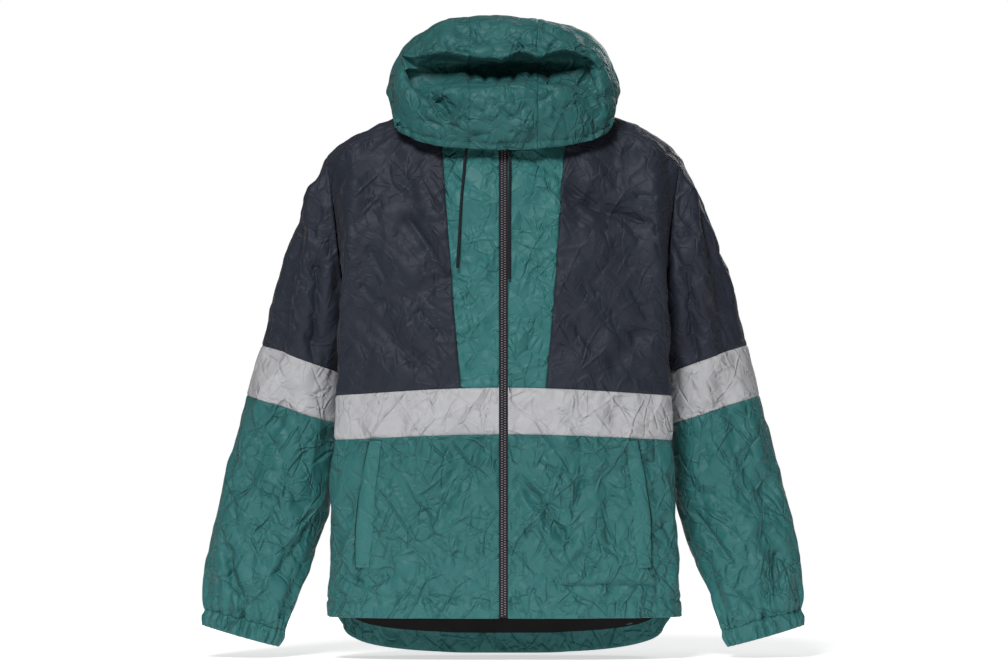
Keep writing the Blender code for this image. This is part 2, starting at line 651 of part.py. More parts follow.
def back_grid(columns, heights):
    """Half a back, from the side seam to the middle, so that it faces out. heights: rows by
    columns, or one list for all columns."""
    heights = np.asarray(heights, float)
    if heights.ndim == 1:
        heights = np.repeat(heights[:, None], len(columns), 1)
    across = np.broadcast_to(np.asarray(columns, float), heights.shape)
    normal = -surface_normals(back, across, heights)
    return back(across, heights)[:, ::-1], normal[:, ::-1]


def agree(one, other):
    """Give the points along a seam the same normals in both pieces."""
    shared = unit(one + other)
    one[:] = shared
    other[:] = shared


def whole_back(half):
    return np.concatenate([half, flip(half)[:, 1:]], 1)


def casing_rows(top, hem, casing, steps):
    """Rows from the hem up, with a close pair where the casing ends."""
    fold = hem + casing
    return [hem, fold, fold + 0.002] + [mix(fold, top, (i + 1) / steps) for i in range(steps)]


STRIP = [i / STRIP_STEPS for i in range(STRIP_STEPS + 1)]
SIDE = [1 + i / CHEST_STEPS for i in range(CHEST_STEPS + 1)]
BACK_COLUMNS = list(NECK_STEPS) + SIDE[1:]
BELOW_ARMHOLE = [BAND_TOP, -0.375, -0.338]
FRONT_ROWS = BELOW_ARMHOLE + [CHEST + i / ARMHOLE_FRONT_STEPS for i in range(ARMHOLE_FRONT_STEPS + 1)]
BACK_ROWS = BELOW_ARMHOLE + [CHEST + i / ARMHOLE_BACK_STEPS for i in range(ARMHOLE_BACK_STEPS + 1)]
BAND_ROWS = [BAND_BOTTOM, -0.4445, BAND_TOP]
ARMHOLE_ROW = len(BELOW_ARMHOLE)


class Armhole:
    """The seam between the body and a sleeve, from the underarm up the back and down the front."""

    def __init__(self, chest, chest_normal, back_half, back_normal):
        front_edge, back_edge = chest[ARMHOLE_ROW:, -1], back_half[ARMHOLE_ROW:, 0]
        self.loop = np.concatenate([back_edge, front_edge[-2:0:-1]])
        into_body = np.concatenate([back_half[ARMHOLE_ROW:, 1] - back_edge,
                                    (chest[ARMHOLE_ROW:, -2] - front_edge)[-2:0:-1]])
        body_normal = np.concatenate([back_normal[ARMHOLE_ROW:, 0],
                                      chest_normal[ARMHOLE_ROW:, -1][-2:0:-1]])
        steps = np.linalg.norm(np.roll(self.loop, -1, 0) - self.loop, axis=-1)
        way = np.concatenate([[0.0], np.cumsum(steps)])
        top = int(np.argmax(self.loop[:, 2]))
        turn = np.where(way <= way[top], way / way[top] - 1,
                        (way - way[top]) / (way[-1] - way[top]))
        self.turns = math.pi * turn
        sleeve_way = self.sleeve_grid([0.0, 0.006])
        into_sleeve = unit(sleeve_way[1] - sleeve_way[0])
        apart = unit(into_sleeve - unit(into_body))
        self.shift = 0.5 * SEAM * apart
        sleeve_normal = normals(self.sleeve_grid([0.0, 0.006, 0.012]), closed=True)[0]
        smooth = (np.sum(sleeve_normal * body_normal, -1) > 0.2)[:, None]
        shared = unit(sleeve_normal + body_normal)
        self.sleeve_normal = np.where(smooth, shared, sleeve_normal)
        self.body_normal = np.where(smooth, shared, body_normal)
        self.back_count = len(back_edge)

    def sleeve_grid(self, downs, finer=1):
        """Rows of the sleeve at the given ways down, with finer columns to each loop's step."""
        places = np.arange(len(self.loop) * finer) / finer
        i = places.astype(int)
        share = (places - i)[:, None]
        loop = mix(self.loop[i], np.roll(self.loop, -1, 0)[i], share)
        turn = mix(self.turns[i], self.turns[i + 1], places - i)
        down = np.asarray(downs, float)[:, None] * np.ones(len(turn))
        return sleeve(np.broadcast_to(loop, down.shape + (3,)), np.broadcast_to(turn, down.shape), down)

    def apply(self, chest_shift, chest_normal, back_shift, back_normal):
        """Give the body's edges their share of the gap and the normals shared with the sleeve."""
        loop_front = [0] + list(range(len(self.loop) - 1, self.back_count - 2, -1))
        chest_shift[ARMHOLE_ROW:, -1] -= self.shift[loop_front]
        chest_normal[ARMHOLE_ROW + 1:, -1] = self.body_normal[loop_front[1:]]
        back_shift[ARMHOLE_ROW:, 0] -= self.shift[:self.back_count]
        back_normal[ARMHOLE_ROW + 1:, 0] = self.body_normal[1:self.back_count]


def flat_ring(normal, row, station):
    """Turn a ring's normals into its own plane, so that two sleeves' ends face each other."""
    _, inner_x, inner_z, outer_x, outer_z, _, _ = station
    axis = unit(np.array([outer_z - inner_z, 0.0, inner_x - outer_x]))
    ring = normal[row]
    normal[row] = unit(ring - np.sum(ring * axis, -1, keepdims=True) * axis)


def build_body():
    """Fronts, backs and the seam edges that they share with the sleeves."""
    strip, strip_normal = front_grid(STRIP, FRONT_ROWS)
    chest, chest_normal = front_grid(SIDE, FRONT_ROWS)
    back_half, back_normal = back_grid(BACK_COLUMNS, BACK_ROWS)
    chest_shift = seam_shift(chest, ("low", "high", "left"))
    chest_shift[:ARMHOLE_ROW + 1] = seam_shift(chest, ("low", "high", "left", "right"))[:ARMHOLE_ROW + 1]
    back_shift = seam_shift(back_half, ("low", "high"))
    back_shift[:ARMHOLE_ROW + 1] = seam_shift(back_half, ("low", "high", "left"))[:ARMHOLE_ROW + 1]
    shoulder = len(SIDE)
    agree(chest_normal[-1, ::-1], back_normal[-1, :shoulder])
    agree(chest_normal[:ARMHOLE_ROW + 1, -1], back_normal[:ARMHOLE_ROW + 1, 0])
    armhole = Armhole(chest, chest_normal, back_half, back_normal)
    armhole.apply(chest_shift, chest_normal, back_shift, back_normal)

    both_sides("front_centre", "green", strip, strip_normal,
               seam_shift(strip, ("low", "high", "right")))
    both_sides("front_chest", "navy", chest, chest_normal, chest_shift)
    wall("back_upper", "navy", whole_back(back_half), whole_back(back_normal),
         whole_back(back_shift))

    whole = STRIP + SIDE[1:]
    band, band_normal = front_grid(whole, BAND_ROWS)
    rear, rear_normal = back_grid(BACK_COLUMNS, BAND_ROWS)
    agree(band_normal[:, -1], rear_normal[:, 0])
    both_sides("front_band", "grey", band, band_normal, seam_shift(band, ("low", "high", "right")))
    wall("back_band", "grey", whole_back(rear), whole_back(rear_normal),
         whole_back(seam_shift(rear, ("low", "high", "left"))))

    rows = casing_rows(BAND_BOTTOM, HEM, HEM_CASING, 6)
    lower, lower_normal = front_grid(whole, rows)
    thick = np.full(lower.shape[:2], WALL)
    thick[:2, 2:] = CASING
    both_sides("front_lower", "green", lower, lower_normal, seam_shift(lower, ("high", "right")),
               thick)
    return armhole


def tail_hem(across):
    """Level of the back hem: it drops from the side seam to the middle, then runs nearly flat."""
    place = np.asarray(across, float) / 2
    return HEM - TAIL_DROP * (1 - place ** 5)


def build_back_lower():
    columns = np.array(BACK_COLUMNS)
    hem = tail_hem(columns)
    casing = mix(TAIL_CASING, HEM_CASING, (columns / 2) ** 5)
    rows = np.array(casing_rows(BAND_BOTTOM, hem, casing, 6))
    lower, normal = back_grid(columns, rows)
    thick = np.full(lower.shape[:2], WALL)
    thick[:2] = CASING
    half_thick = np.concatenate([thick, thick[:, -2::-1]], 1)
    wall("back_lower", "green", whole_back(lower), whole_back(normal),
         whole_back(seam_shift(lower, ("high", "left"))), half_thick)

    top = np.full(len(columns), 1.0)
    low = hem + casing + 0.0004
    rows = [low, mix(low, BAND_BOTTOM, 0.33), mix(low, BAND_BOTTOM, 0.67), top * BAND_BOTTOM,
            top * BAND_TOP, top * BELOW_ARMHOLE[-1]]
    lining, normal = back_grid(columns[:-2], np.array(rows)[:, :-2])
    wall("back_lining", "black", whole_back(lining), whole_back(normal),
         np.zeros_like(whole_back(lining)), LINING, outset=-(WALL + LINING_GAP))


UPPER_DOWNS = (0.0, 0.035, 0.074, 0.120, 0.172, 0.228, 0.283)
BAND_DOWNS = (0.283, 0.320, 0.357)
LOWER_DOWNS = (0.357, 0.410, 0.463, 0.515, 0.563, 0.602, 0.632, 0.653, 0.667)


def build_sleeves(armhole):
    grid = armhole.sleeve_grid(UPPER_DOWNS)
    normal = normals(grid, closed=True)
    normal[0] = armhole.sleeve_normal
    flat_ring(normal, -1, SLEEVE[0])
    shift = seam_shift(grid, ("high",))
    shift[0] += armhole.shift
    both_sides("sleeve_upper", "navy", grid, normal, shift, closed=True)

    grid = armhole.sleeve_grid(BAND_DOWNS)
    normal = normals(grid, closed=True)
    flat_ring(normal, 0, SLEEVE[0])
    flat_ring(normal, -1, SLEEVE[1])
    both_sides("sleeve_band", "grey", grid, normal, seam_shift(grid, ("low", "high")), closed=True)

    grid = armhole.sleeve_grid(LOWER_DOWNS, finer=2)
    normal = normals(grid, closed=True)
    flat_ring(normal, 0, SLEEVE[1])
    flat_ring(normal, -1, SLEEVE[-1])
    gather = GATHER_DEPTH * ease((np.array(LOWER_DOWNS) - 0.61) / 0.04)
    gather[-1] *= 0.5
    sign = np.where(np.arange(grid.shape[1]) % 2, 1.0, -1.0)
    grid = grid + normal * (gather[:, None] * sign)[..., None]
    both_sides("sleeve_lower", "green", grid, normal, seam_shift(grid, ("low", "high")), closed=True)
    build_cuffs(armhole, sign)


def build_cuffs(armhole, sign):
    """Elastic cuffs: short tubes whose gathers carry on from the sleeve's."""
    _, inner_x, inner_z, outer_x, outer_z, y, depth = SLEEVE[-1]
    places = np.arange(len(sign)) / 2
    turn = np.interp(places, np.arange(len(armhole.turns)), armhole.turns)
    across = 0.5 * (1 + np.cos(turn))
    top = point(mix(inner_x, outer_x, across), y - depth * np.sin(turn),
                mix(inner_z, outer_z, across))
    low_inner_x, low_inner_z, low_outer_x, low_outer_z = CUFF_END
    bottom = point(mix(low_inner_x, low_outer_x, across), y - CUFF_DEPTH * np.sin(turn),
                   mix(low_inner_z, low_outer_z, across))
    grid = np.stack([mix(top, bottom, share) for share in (0.0, 0.5, 1.0)])
    normal = normals(grid, closed=True)
    flat_ring(normal, 0, SLEEVE[-1])
    swell = np.array((0.0, 0.0012, 0.0))[:, None]
    gather = GATHER_DEPTH * np.array((0.5, 0.9, 0.5))[:, None] * sign
    grid = grid + normal * (gather + swell)[..., None]
    both_sides("cuff", "green", grid, normal, seam_shift(grid, ("low",)), closed=True)


def build_hood():
    fronts = neckline_front(np.array(STRIP))
    backs = neckline_back(np.array(NECK_STEPS[-2:2:-1]))
    neck_points = np.concatenate([fronts, backs])
    ways = np.arange(HOOD_STEPS * (len(neck_points) - 1) + 1) / (HOOD_STEPS * (len(neck_points) - 1))

    across, way = np.meshgrid([-1.0, -0.5, 0.0, 0.5, 1.0], ways)
    grid = hood_centre(across, way)
    normal = normals(grid)
    shift = seam_shift(grid, ("high", "left", "right"))
    wall("hood_centre", "green", grid, normal, shift)

    def side(across, way):
        return hood_side(across, way, neck_points)

    across, way = np.meshgrid([i / HOOD_SIDE_STEPS for i in range(HOOD_SIDE_STEPS + 1)], ways)
    grid = side(across, way)
    side_normal = normals(grid)
    side_normal[:, 0] = normal[:, -1]
    side_normal[-1, -1] = side_normal[-2, -1]
    shift = seam_shift(grid, ("left", "right", "high"))
    both_sides("hood_side", "green", grid, side_normal, shift)
    return grid, side_normal


def front_point(x, z):
    """The lower front's surface at a place given by its x and z."""
    around = np.linspace(0.0, 0.8, 81)
    level = z
    for _ in range(3):
        ring = torso(around, np.full_like(around, level))
        y, at_z = (np.interp(x, ring[:, 0], ring[:, axis]) for axis in (1, 2))
        level += z - at_z
    return np.array((x, y, at_z))


def build_welts():
    downs = np.linspace(0.0, 1.0, WELT_ROWS)[::-1]
    knots = [row[0] for row in WELT]
    outer_x, outer_z, inner_x, inner_z = (spline(knots, [row[i] for row in WELT], downs)
                                          for i in (1, 2, 3, 4))
    grid = np.array([[front_point(mix(inner_x[row], outer_x[row], share),
                                  mix(inner_z[row], outer_z[row], share))
                      for share in (0.0, 1 / 3, 2 / 3, 1.0)] for row in range(WELT_ROWS)])
    normal = normals(grid)
    both_sides("pocket_welt", "green", grid, normal, np.zeros_like(grid), WELT_WALL,
               outset=WELT_GAP + WELT_WALL)


def prism(name, cloth, rings):
    """A solid through rings of points that turn the same way, its first and last ring closed."""
    count = len(rings[0])
    faces = [tuple(range(count))[::-1], tuple(range((len(rings) - 1) * count, len(rings) * count))]
    for row in range(len(rings) - 1):
        for i in range(count):
            a, b = row * count + i, row * count + (i + 1) % count
            faces.append((a, b, b + count, a + count))
    return add_object(name, cloth, np.concatenate(rings), faces)


def build_zip(hood, hood_normal):
    """Tapes and closed chain, from the hem up to the top of the hood's front edge. Returns the
    last straight stretch, where the slider stands, as its foot, its top and its facing."""
    levels = sorted({round(z, 4) for z in casing_rows(BAND_BOTTOM, HEM, HEM_CASING, 6) + BAND_ROWS
                     if z > ZIP_FOOT} | {ZIP_FOOT} | {round(z, 4) for z in FRONT_ROWS})
    heights = np.array(levels)
    zero = np.zeros_like(heights)
    edge, beside = front(zero, heights), front(zero + STRIP[1], heights)
    line = edge[:, 1:]
    facing = surface_normals(front, zero, heights)[:, 1:]
    # above the neck the zip follows the hood's front edge
    collar, collar_next = hood[0, -2:-4:-1], hood[1, -2:-4:-1]
    collar_facing = unit(hood_normal[0, -2:-4:-1, 1:])
    line = np.concatenate([line, collar[:, 1:] - collar_facing * COLLAR_INSET])
    facing = np.concatenate([unit(facing), collar_facing])
    # the tapes' outer edges follow the fronts as they turn away from the middle
    edge, beside = np.concatenate([edge, collar]), np.concatenate([beside, collar_next])
    away = (beside - edge)[:, 1:] * (TAPE_HALF - ZIP_HALF) / (beside - edge)[:, :1]
    section = ((-TAPE_HALF, TAPE_DEPTH), (-CHAIN_FOOT, TAPE_DEPTH), (-CHAIN_HALF, CHAIN_DEPTH),
               (CHAIN_HALF, CHAIN_DEPTH), (CHAIN_FOOT, TAPE_DEPTH), (TAPE_HALF, TAPE_DEPTH),
               (TAPE_HALF, TAPE_BACK), (-TAPE_HALF, TAPE_BACK))
    rings = [np.array([(x, *(at - out * depth + aside * (abs(x) == TAPE_HALF)))
                       for x, depth in section]) for at, out, aside in zip(line, facing, away)]
    prism("zip", "tape", rings)
    return line[-2], line[-1], facing[-2]


class ZipTop:
    """Places near the slider: up the zip from the pull's pin, and behind the pin by depth."""

    def __init__(self, foot, top, facing):
        self.along = unit(top - foot)
        self.inward = np.array((self.along[1], -self.along[0]))
        self.pin = mix(foot, top, PIN_PLACE) + self.inward * (CHAIN_DEPTH - PIN_OUT)

    def beside_pin(self, x, up, depth):
        return (x, *(self.along * up + self.inward * depth))

    def at(self, x, up, depth):
        return tuple(np.array((0.0, *self.pin)) + self.beside_pin(x, up, depth))


def build_slider(place):
    on_zip = place.at
    body = prism("zip_slider", "metal",
                 [np.array([on_zip(x, up, depth) for x, depth in SLIDER[::-1]])
                  for up in SLIDER_ENDS])
    bridge = prism("bridge", "metal",
                   [np.array([on_zip(x, up, depth) for up, depth in BRIDGE])
                    for x in (-BRIDGE_HALF, BRIDGE_HALF)])
    bridge.hide_render = True
    bridge.display_type = "WIRE"
    join = body.modifiers.new("bridge", "BOOLEAN")
    join.operation = "UNION"
    join.solver = "EXACT"
    join.object = bridge

    vertices = []
    half = 0.5 * PULL_THICK
    for depth in (-half, half):
        for row, up in enumerate(PULL_Z):
            narrow = PULL_TIP if row == len(PULL_Z) - 1 else 1.0
            vertices += [place.beside_pin(x * narrow, up, depth) for x in PULL_X]
    columns, back = len(PULL_X), len(PULL_X) * len(PULL_Z)
    cells = [(row, column) for row in range(len(PULL_Z) - 1) for column in range(columns - 1)
             if (row, column) != (1, 1)]
    faces = []
    edges = {}
    for row, column in cells:
        a = row * columns + column
        corners = (a, a + columns, a + columns + 1, a + 1)
        faces.append(corners)
        faces.append(tuple(corner + back for corner in corners[::-1]))
        for i in range(4):
            edge = (corners[i], corners[(i + 1) % 4])
            if edge[::-1] in edges:
                del edges[edge[::-1]]
            else:
                edges[edge] = True
    faces += [(b, a, a + back, b + back) for a, b in edges]
    pull = add_object("zip_pull", "metal", vertices, faces)
    pull.location = (0.0, *(float(value) for value in place.pin))


def build_cord(name, route_points):
    """A soft round cord with sealed ends that are a little thicker."""
    points = np.array(route_points)
    way = np.concatenate([[0.0], np.cumsum(np.linalg.norm(np.diff(points, axis=0), axis=1))])
    count = int(way[-1] / (2.4 * 2 * CORD)) + 1
    at = np.linspace(0.0, way[-1], count + 1)
    smooth = np.stack([spline(way, [p[axis] for p in points], at) for axis in range(3)], -1)
    curve = bpy.data.curves.new(name, "CURVE")
    curve.dimensions = "3D"
    curve.bevel_depth = CORD
    curve.bevel_resolution = 2
    curve.use_fill_caps = True
    line = curve.splines.new("POLY")
    line.points.add(len(smooth) - 1)
    for i, place in enumerate(smooth):
        line.points[i].co = (*(float(v) for v in place), 1.0)
        line.points[i].radius = CORD_END / CORD if i > len(smooth) - 4 else 1.0
    curve.materials.append(material("cord"))
    made = bpy.data.objects.new(name, curve)
    bpy.context.scene.collection.objects.link(made)


# ---------------------------------------------------------------- assembly
for item in list(bpy.data.objects):
    bpy.data.objects.remove(item, do_unlink=True)
body_armhole = build_body()
build_back_lower()
build_sleeves(body_armhole)
hood_grid, hood_grid_normal = build_hood()
build_welts()
build_slider(ZipTop(*build_zip(hood_grid, hood_grid_normal)))
build_cord("drawcord_left", CORD_LEFT)
build_cord("drawcord_right", CORD_RIGHT)
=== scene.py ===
import math

import bpy
import numpy as np
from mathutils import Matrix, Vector


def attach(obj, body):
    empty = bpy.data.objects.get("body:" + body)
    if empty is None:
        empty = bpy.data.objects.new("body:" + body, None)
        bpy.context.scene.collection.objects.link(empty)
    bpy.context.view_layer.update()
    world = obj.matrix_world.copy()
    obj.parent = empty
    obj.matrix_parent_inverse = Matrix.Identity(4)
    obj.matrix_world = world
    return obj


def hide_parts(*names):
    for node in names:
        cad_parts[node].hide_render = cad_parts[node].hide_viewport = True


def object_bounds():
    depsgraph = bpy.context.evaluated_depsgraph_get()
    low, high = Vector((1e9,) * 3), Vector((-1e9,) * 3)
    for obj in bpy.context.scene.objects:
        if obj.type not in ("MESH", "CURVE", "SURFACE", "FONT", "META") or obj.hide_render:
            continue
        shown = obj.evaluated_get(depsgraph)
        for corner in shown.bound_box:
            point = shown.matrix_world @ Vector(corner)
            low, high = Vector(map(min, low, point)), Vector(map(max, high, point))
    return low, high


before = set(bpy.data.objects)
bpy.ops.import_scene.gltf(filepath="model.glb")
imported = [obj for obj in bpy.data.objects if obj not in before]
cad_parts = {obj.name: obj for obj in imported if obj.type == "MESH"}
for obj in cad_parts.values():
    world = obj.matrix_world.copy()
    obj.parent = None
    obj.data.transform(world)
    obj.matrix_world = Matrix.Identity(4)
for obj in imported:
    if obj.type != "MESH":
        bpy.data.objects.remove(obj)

CAD_BOX = [list(corner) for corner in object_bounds()]

# ------------------------------------------------------------------ sizes
# in metres, with z up and 0 at the middle of the neck opening
WALL = 0.0013
CHEST = -0.300
BAND_TOP = -0.412
BAND_BOTTOM = -0.477
HEM = -0.7330
HEM_CASING = 0.024
TAIL_DROP = 0.0568
TAIL_POWER = 5
TAIL_CASING = 0.031
LINING_DEPTH = 0.0046
ZIP_HALF = 0.0065
STRIP_LOW = 0.0585
STRIP_FLARE = 0.0858
NECK_FRONT = (0.0, -0.097, -0.078)
SEAM_ANGLE = math.radians(71)
NECK_ANGLE_FRONT = math.radians(37)
NECK_ANGLE_BACK = math.radians(50)
BACK_NECK = 0.30

# rings of the body: level, droop at the sides, half width, depth of the front, y of the front's
# edge, x and y of the side, x and y of the back's edge, depth of the back
SECTIONS = (
    (-0.810, 0.000, 0.2470, 0.108, -0.040, 0.240, 0.030, 0.214, 0.080, 0.100),
    (-0.736, 0.000, 0.2460, 0.112, -0.043, 0.236, 0.026, 0.208, 0.080, 0.104),
    (-0.650, 0.004, 0.2440, 0.118, -0.046, 0.226, 0.022, 0.196, 0.082, 0.108),
    (-0.550, 0.008, 0.2410, 0.122, -0.050, 0.214, 0.020, 0.186, 0.084, 0.111),
    (-0.477, 0.010, 0.2370, 0.123, -0.052, 0.204, 0.020, 0.180, 0.085, 0.113),
    (-0.412, 0.013, 0.2345, 0.123, -0.054, 0.197, 0.024, 0.177, 0.086, 0.114),
    (-0.350, 0.028, 0.2335, 0.122, -0.056, 0.196, 0.030, 0.178, 0.087, 0.115),
    (-0.300, 0.045, 0.2335, 0.121, -0.056, 0.205, 0.035, 0.182, 0.087, 0.115),
)
HALF_WIDTH = 2
RING_KNOTS = (0.0, 0.352, 0.597, 0.791, 1.0, 1.255, 1.627, 2.0)
# how the ring bends beside its middle, as shares of the half width and of the depth
CHEST_X, CHEST_Y = (0.5, 0.82), (0.955, 0.745)
BACK_X, BACK_Y = 0.53, 0.94
# shoulder ridge, back neckline and armhole: share of the way, x, y, z
RIDGE = (
    (0.00, 0.0920, 0.000, -0.0020),
    (0.47, 0.1660, 0.000, -0.0360),
    (0.82, 0.2220, 0.002, -0.0620),
    (1.00, 0.2505, 0.004, -0.0880),
)
NECK_BACK = (
    (0.00, 0.0000, 0.072, -0.014),
    (0.30, 0.0485, 0.063, -0.012),
    (0.60, 0.0810, 0.033, -0.006),
    (0.80, 0.0920, 0.000, -0.002),
)
ARMHOLE_FRONT = (
    (0.00, 0.2050, 0.035, -0.3450),
    (0.20, 0.2185, -0.004, -0.3120),
    (0.46, 0.2290, -0.032, -0.2450),
    (0.74, 0.2380, -0.040, -0.1700),
    (1.00, 0.2480, -0.029, -0.1010),
)
ARMHOLE_BACK = (
    (0.00, 0.2050, 0.035, -0.3450),
    (0.17, 0.2140, 0.070, -0.3050),
    (0.38, 0.2280, 0.086, -0.2350),
    (0.64, 0.2400, 0.072, -0.1550),
    (0.84, 0.2490, 0.034, -0.1000),
    (0.93, 0.2505, 0.004, -0.0880),
    (1.00, 0.2480, -0.029, -0.1010),
)
# how far across the armhole's line starts to pull the cloth, on the front and on the back
FRONT_PULL, BACK_PULL = 1.35, 1.25
# rows of the upper back, the angle of its arch at each, and how its ridge starts beside the neck
BACK_KNOTS = (0.0, 0.42, 0.71, 0.87, 1.0)
BACK_ANGLES = (0.0, math.radians(32), math.radians(60), math.radians(90))
RIDGE_SHIFT = 0.07
RIDGE_START = 0.62

# sleeve rings: way down, inner x and z, outer x and z, middle y, half depth
SLEEVE = (
    (0.283, 0.2260, -0.3935, 0.3440, -0.3530, 0.042, 0.070),
    (0.357, 0.2330, -0.4657, 0.3630, -0.4244, 0.044, 0.067),
    (0.486, 0.2475, -0.5940, 0.3955, -0.5495, 0.040, 0.062),
    (0.566, 0.2735, -0.6675, 0.4138, -0.6275, 0.030, 0.057),
    (0.619, 0.2925, -0.7167, 0.4215, -0.6800, 0.022, 0.050),
    (0.653, 0.3040, -0.7450, 0.4223, -0.7135, 0.016, 0.040),
    (0.667, 0.3080, -0.7558, 0.4195, -0.7260, 0.014, 0.031),
)
BAND_START, BAND_END, SLEEVE_END = SLEEVE[0][0], SLEEVE[1][0], SLEEVE[-1][0]
SLEEVE_CAP = 0.113
CAP_RISE = 0.008
CAP_FULL = 0.016
CAP_LEAN = (0.956, 0.292)
CUFF_END = (0.3180, -0.7769, 0.4223, -0.7473)
CUFF_DEPTH = 0.033
CUFF_HEM = 0.006
GATHERS = 22
GATHER_DEPTH = 0.0040
GATHER_START = 0.605
LONG_TUCK = 0.0040
LONG_TUCK_START = 0.53
CUFF_FULLNESS = 1.9
# pocket welts: down, x and z of the outer edge, x and z of the inner edge
WELT = (
    (0.00, 0.1860, -0.4860, 0.1710, -0.4870),
    (0.35, 0.1975, -0.5450, 0.1785, -0.5460),
    (0.70, 0.2045, -0.6150, 0.1830, -0.6160),
    (1.00, 0.2055, -0.6630, 0.1890, -0.6640),
)
WELT_ROWS, WELT_COLUMNS = 60, 9
WELT_LIFT, WELT_RISE = 0.0006, 0.0030
# beside the pocket the front sinks this deep, this far out and this wide, and puckers inside it
MOUTH_DEPTH, MOUTH_OUT, MOUTH_HALF = 0.0038, 0.0016, 0.0034
PUCKER_HEIGHT, PUCKER_IN, PUCKER_HALF = 0.0022, 0.022, 0.008
# the pocket's opening, a dark strip of painted shade: how far beyond the welt's edge and how high
# each of its columns is
POCKET_SHADE_STRIP = ((-0.0040, 0.0010), (0.0, 0.0009), (0.0024, 0.0006), (0.0036, -0.0012))
TAPE_COLUMNS = (0.0006, 0.0022, 0.0045, 0.0070, 0.0095)
TAPE_DEPTH = 0.0016
COLLAR_INSET = 0.0007
TOOTH_PITCH = 0.0034
TOOTH_HALF = 0.00078
TOOTH_BACK, TOOTH_FRONT = -0.0001, 0.0016
CORD = 0.0020
CORD_TIP = 0.034
CORD_RIGHT = (
    (-0.0300, -0.0968, -0.0500),
    (-0.0400, -0.0973, -0.0620),
    (-0.0490, -0.0968, -0.0740),
    (-0.0530, -0.0968, -0.0880),
    (-0.0555, -0.1026, -0.1150),
    (-0.0585, -0.1095, -0.1480),
    (-0.0610, -0.1162, -0.1900),
    (-0.0640, -0.1216, -0.2450),
)
CORD_LEFT = (
    (0.0220, -0.0981, -0.0520),
    (0.0140, -0.1001, -0.0660),
    (0.0100, -0.1021, -0.0820),
    (0.0090, -0.1076, -0.1150),
    (0.0085, -0.1136, -0.1500),
    (0.0083, -0.1193, -0.2000),
    (0.0080, -0.1233, -0.2610),
)

HOOD_HALF = 0.166
HOOD_AXIS = (0.0, -0.017)
HOOD_POWER = 2.45
PANEL_HALF = 0.0485
HOOD = (
    # way   mid_y   mid_z   side_y  side_z  cap_x  cap_y   cap_z   under_x under_y under_z
    (0.00, -0.118, -0.080, -0.118, -0.080, 0.150, -0.066, -0.046, 0.106, -0.094, -0.020),
    (0.08, -0.131, -0.042, -0.131, -0.042, 0.156, -0.057, -0.032, 0.118, -0.079, -0.022),
    (0.17, -0.128, 0.002, -0.129, -0.006, 0.160, -0.045, -0.016, 0.127, -0.061, -0.022),
    (0.25, -0.106, 0.0125, -0.124, 0.016, 0.162, -0.038, -0.008, 0.131, -0.047, -0.021),
    (0.33, -0.074, 0.0190, -0.118, 0.033, 0.163, -0.034, -0.004, 0.133, -0.035, -0.019),
    (0.375, -0.056, 0.0300, -0.114, 0.042, 0.163, -0.031, -0.002, 0.134, -0.030, -0.018),
    (0.42, -0.044, 0.0450, -0.110, 0.051, 0.164, -0.028, 0.000, 0.136, -0.025, -0.016),
    (0.50, -0.100, 0.0515, -0.102, 0.064, 0.165, -0.020, 0.003, 0.137, -0.017, -0.012),
    (0.54, -0.098, 0.068, -0.094, 0.076, 0.165, -0.014, 0.004, 0.137, -0.011, -0.010),
    (0.60, -0.067, 0.097, -0.066, 0.096, 0.166, -0.008, 0.004, 0.138, -0.006, -0.009),
    (0.68, -0.010, 0.110, -0.010, 0.110, 0.166, 0.004, 0.003, 0.138, 0.006, -0.009),
    (0.77, 0.068, 0.100, 0.068, 0.100, 0.164, 0.020, 0.000, 0.134, 0.022, -0.013),
    (0.85, 0.124, 0.055, 0.124, 0.055, 0.156, 0.042, -0.010, 0.126, 0.042, -0.022),
    (0.92, 0.143, -0.002, 0.143, -0.002, 0.138, 0.070, -0.026, 0.112, 0.062, -0.030),
    (0.97, 0.128, -0.040, 0.128, -0.040, 0.100, 0.092, -0.034, 0.086, 0.074, -0.026),
    (1.00, 0.072, -0.014, 0.072, -0.014, 0.061, 0.052, -0.0095, 0.067, 0.046, -0.0085),
)
CAP_COLUMNS, UNDER_COLUMNS = (5, 6, 7), (8, 9, 10)
# shares of the way from the crown's seam to the cap where the side panel follows the profile
PROFILE_SHARES = (0.42, 0.80)
HOOD_CLOSE = 0.93
FOLD_FADE = (0.085, 0.152)
# height of the crown's lip against x, in millimetres
LIP = ((-0.160, 0), (-0.139, 2), (-0.118, 10), (-0.097, 23), (-0.072, 15), (-0.048, 2),
       (-0.025, -5), (-0.005, -9), (0.010, -2), (0.022, 8), (0.040, 4), (0.061, -7), (0.085, 9),
       (0.104, 20), (0.116, 6), (0.130, 0), (0.160, 0))
LIP_WAY, LIP_REACH = 0.475, 0.055
HOOD_LIP = (0.0066, -0.0915, -0.031)
BRIM_CHANNEL = 0.0085
COLLAR_HEIGHT = (0.032, 0.018)
COLLAR_BACK = 0.006
COLLAR = 0.30
HOOD_KNOTS = (0.0, 0.18, 0.34, 0.48, 0.62, 0.86, 1.0)
# how far round the neckline each share of the hood's rows stands: front to 0.5, then the back
NECK_WAYS = (0.5, 2 / 3, 5 / 6, 1.0)
NECK_PLACES = (1.0, 0.82, 0.66, 0.48)
NECK_CORNER = 0.30

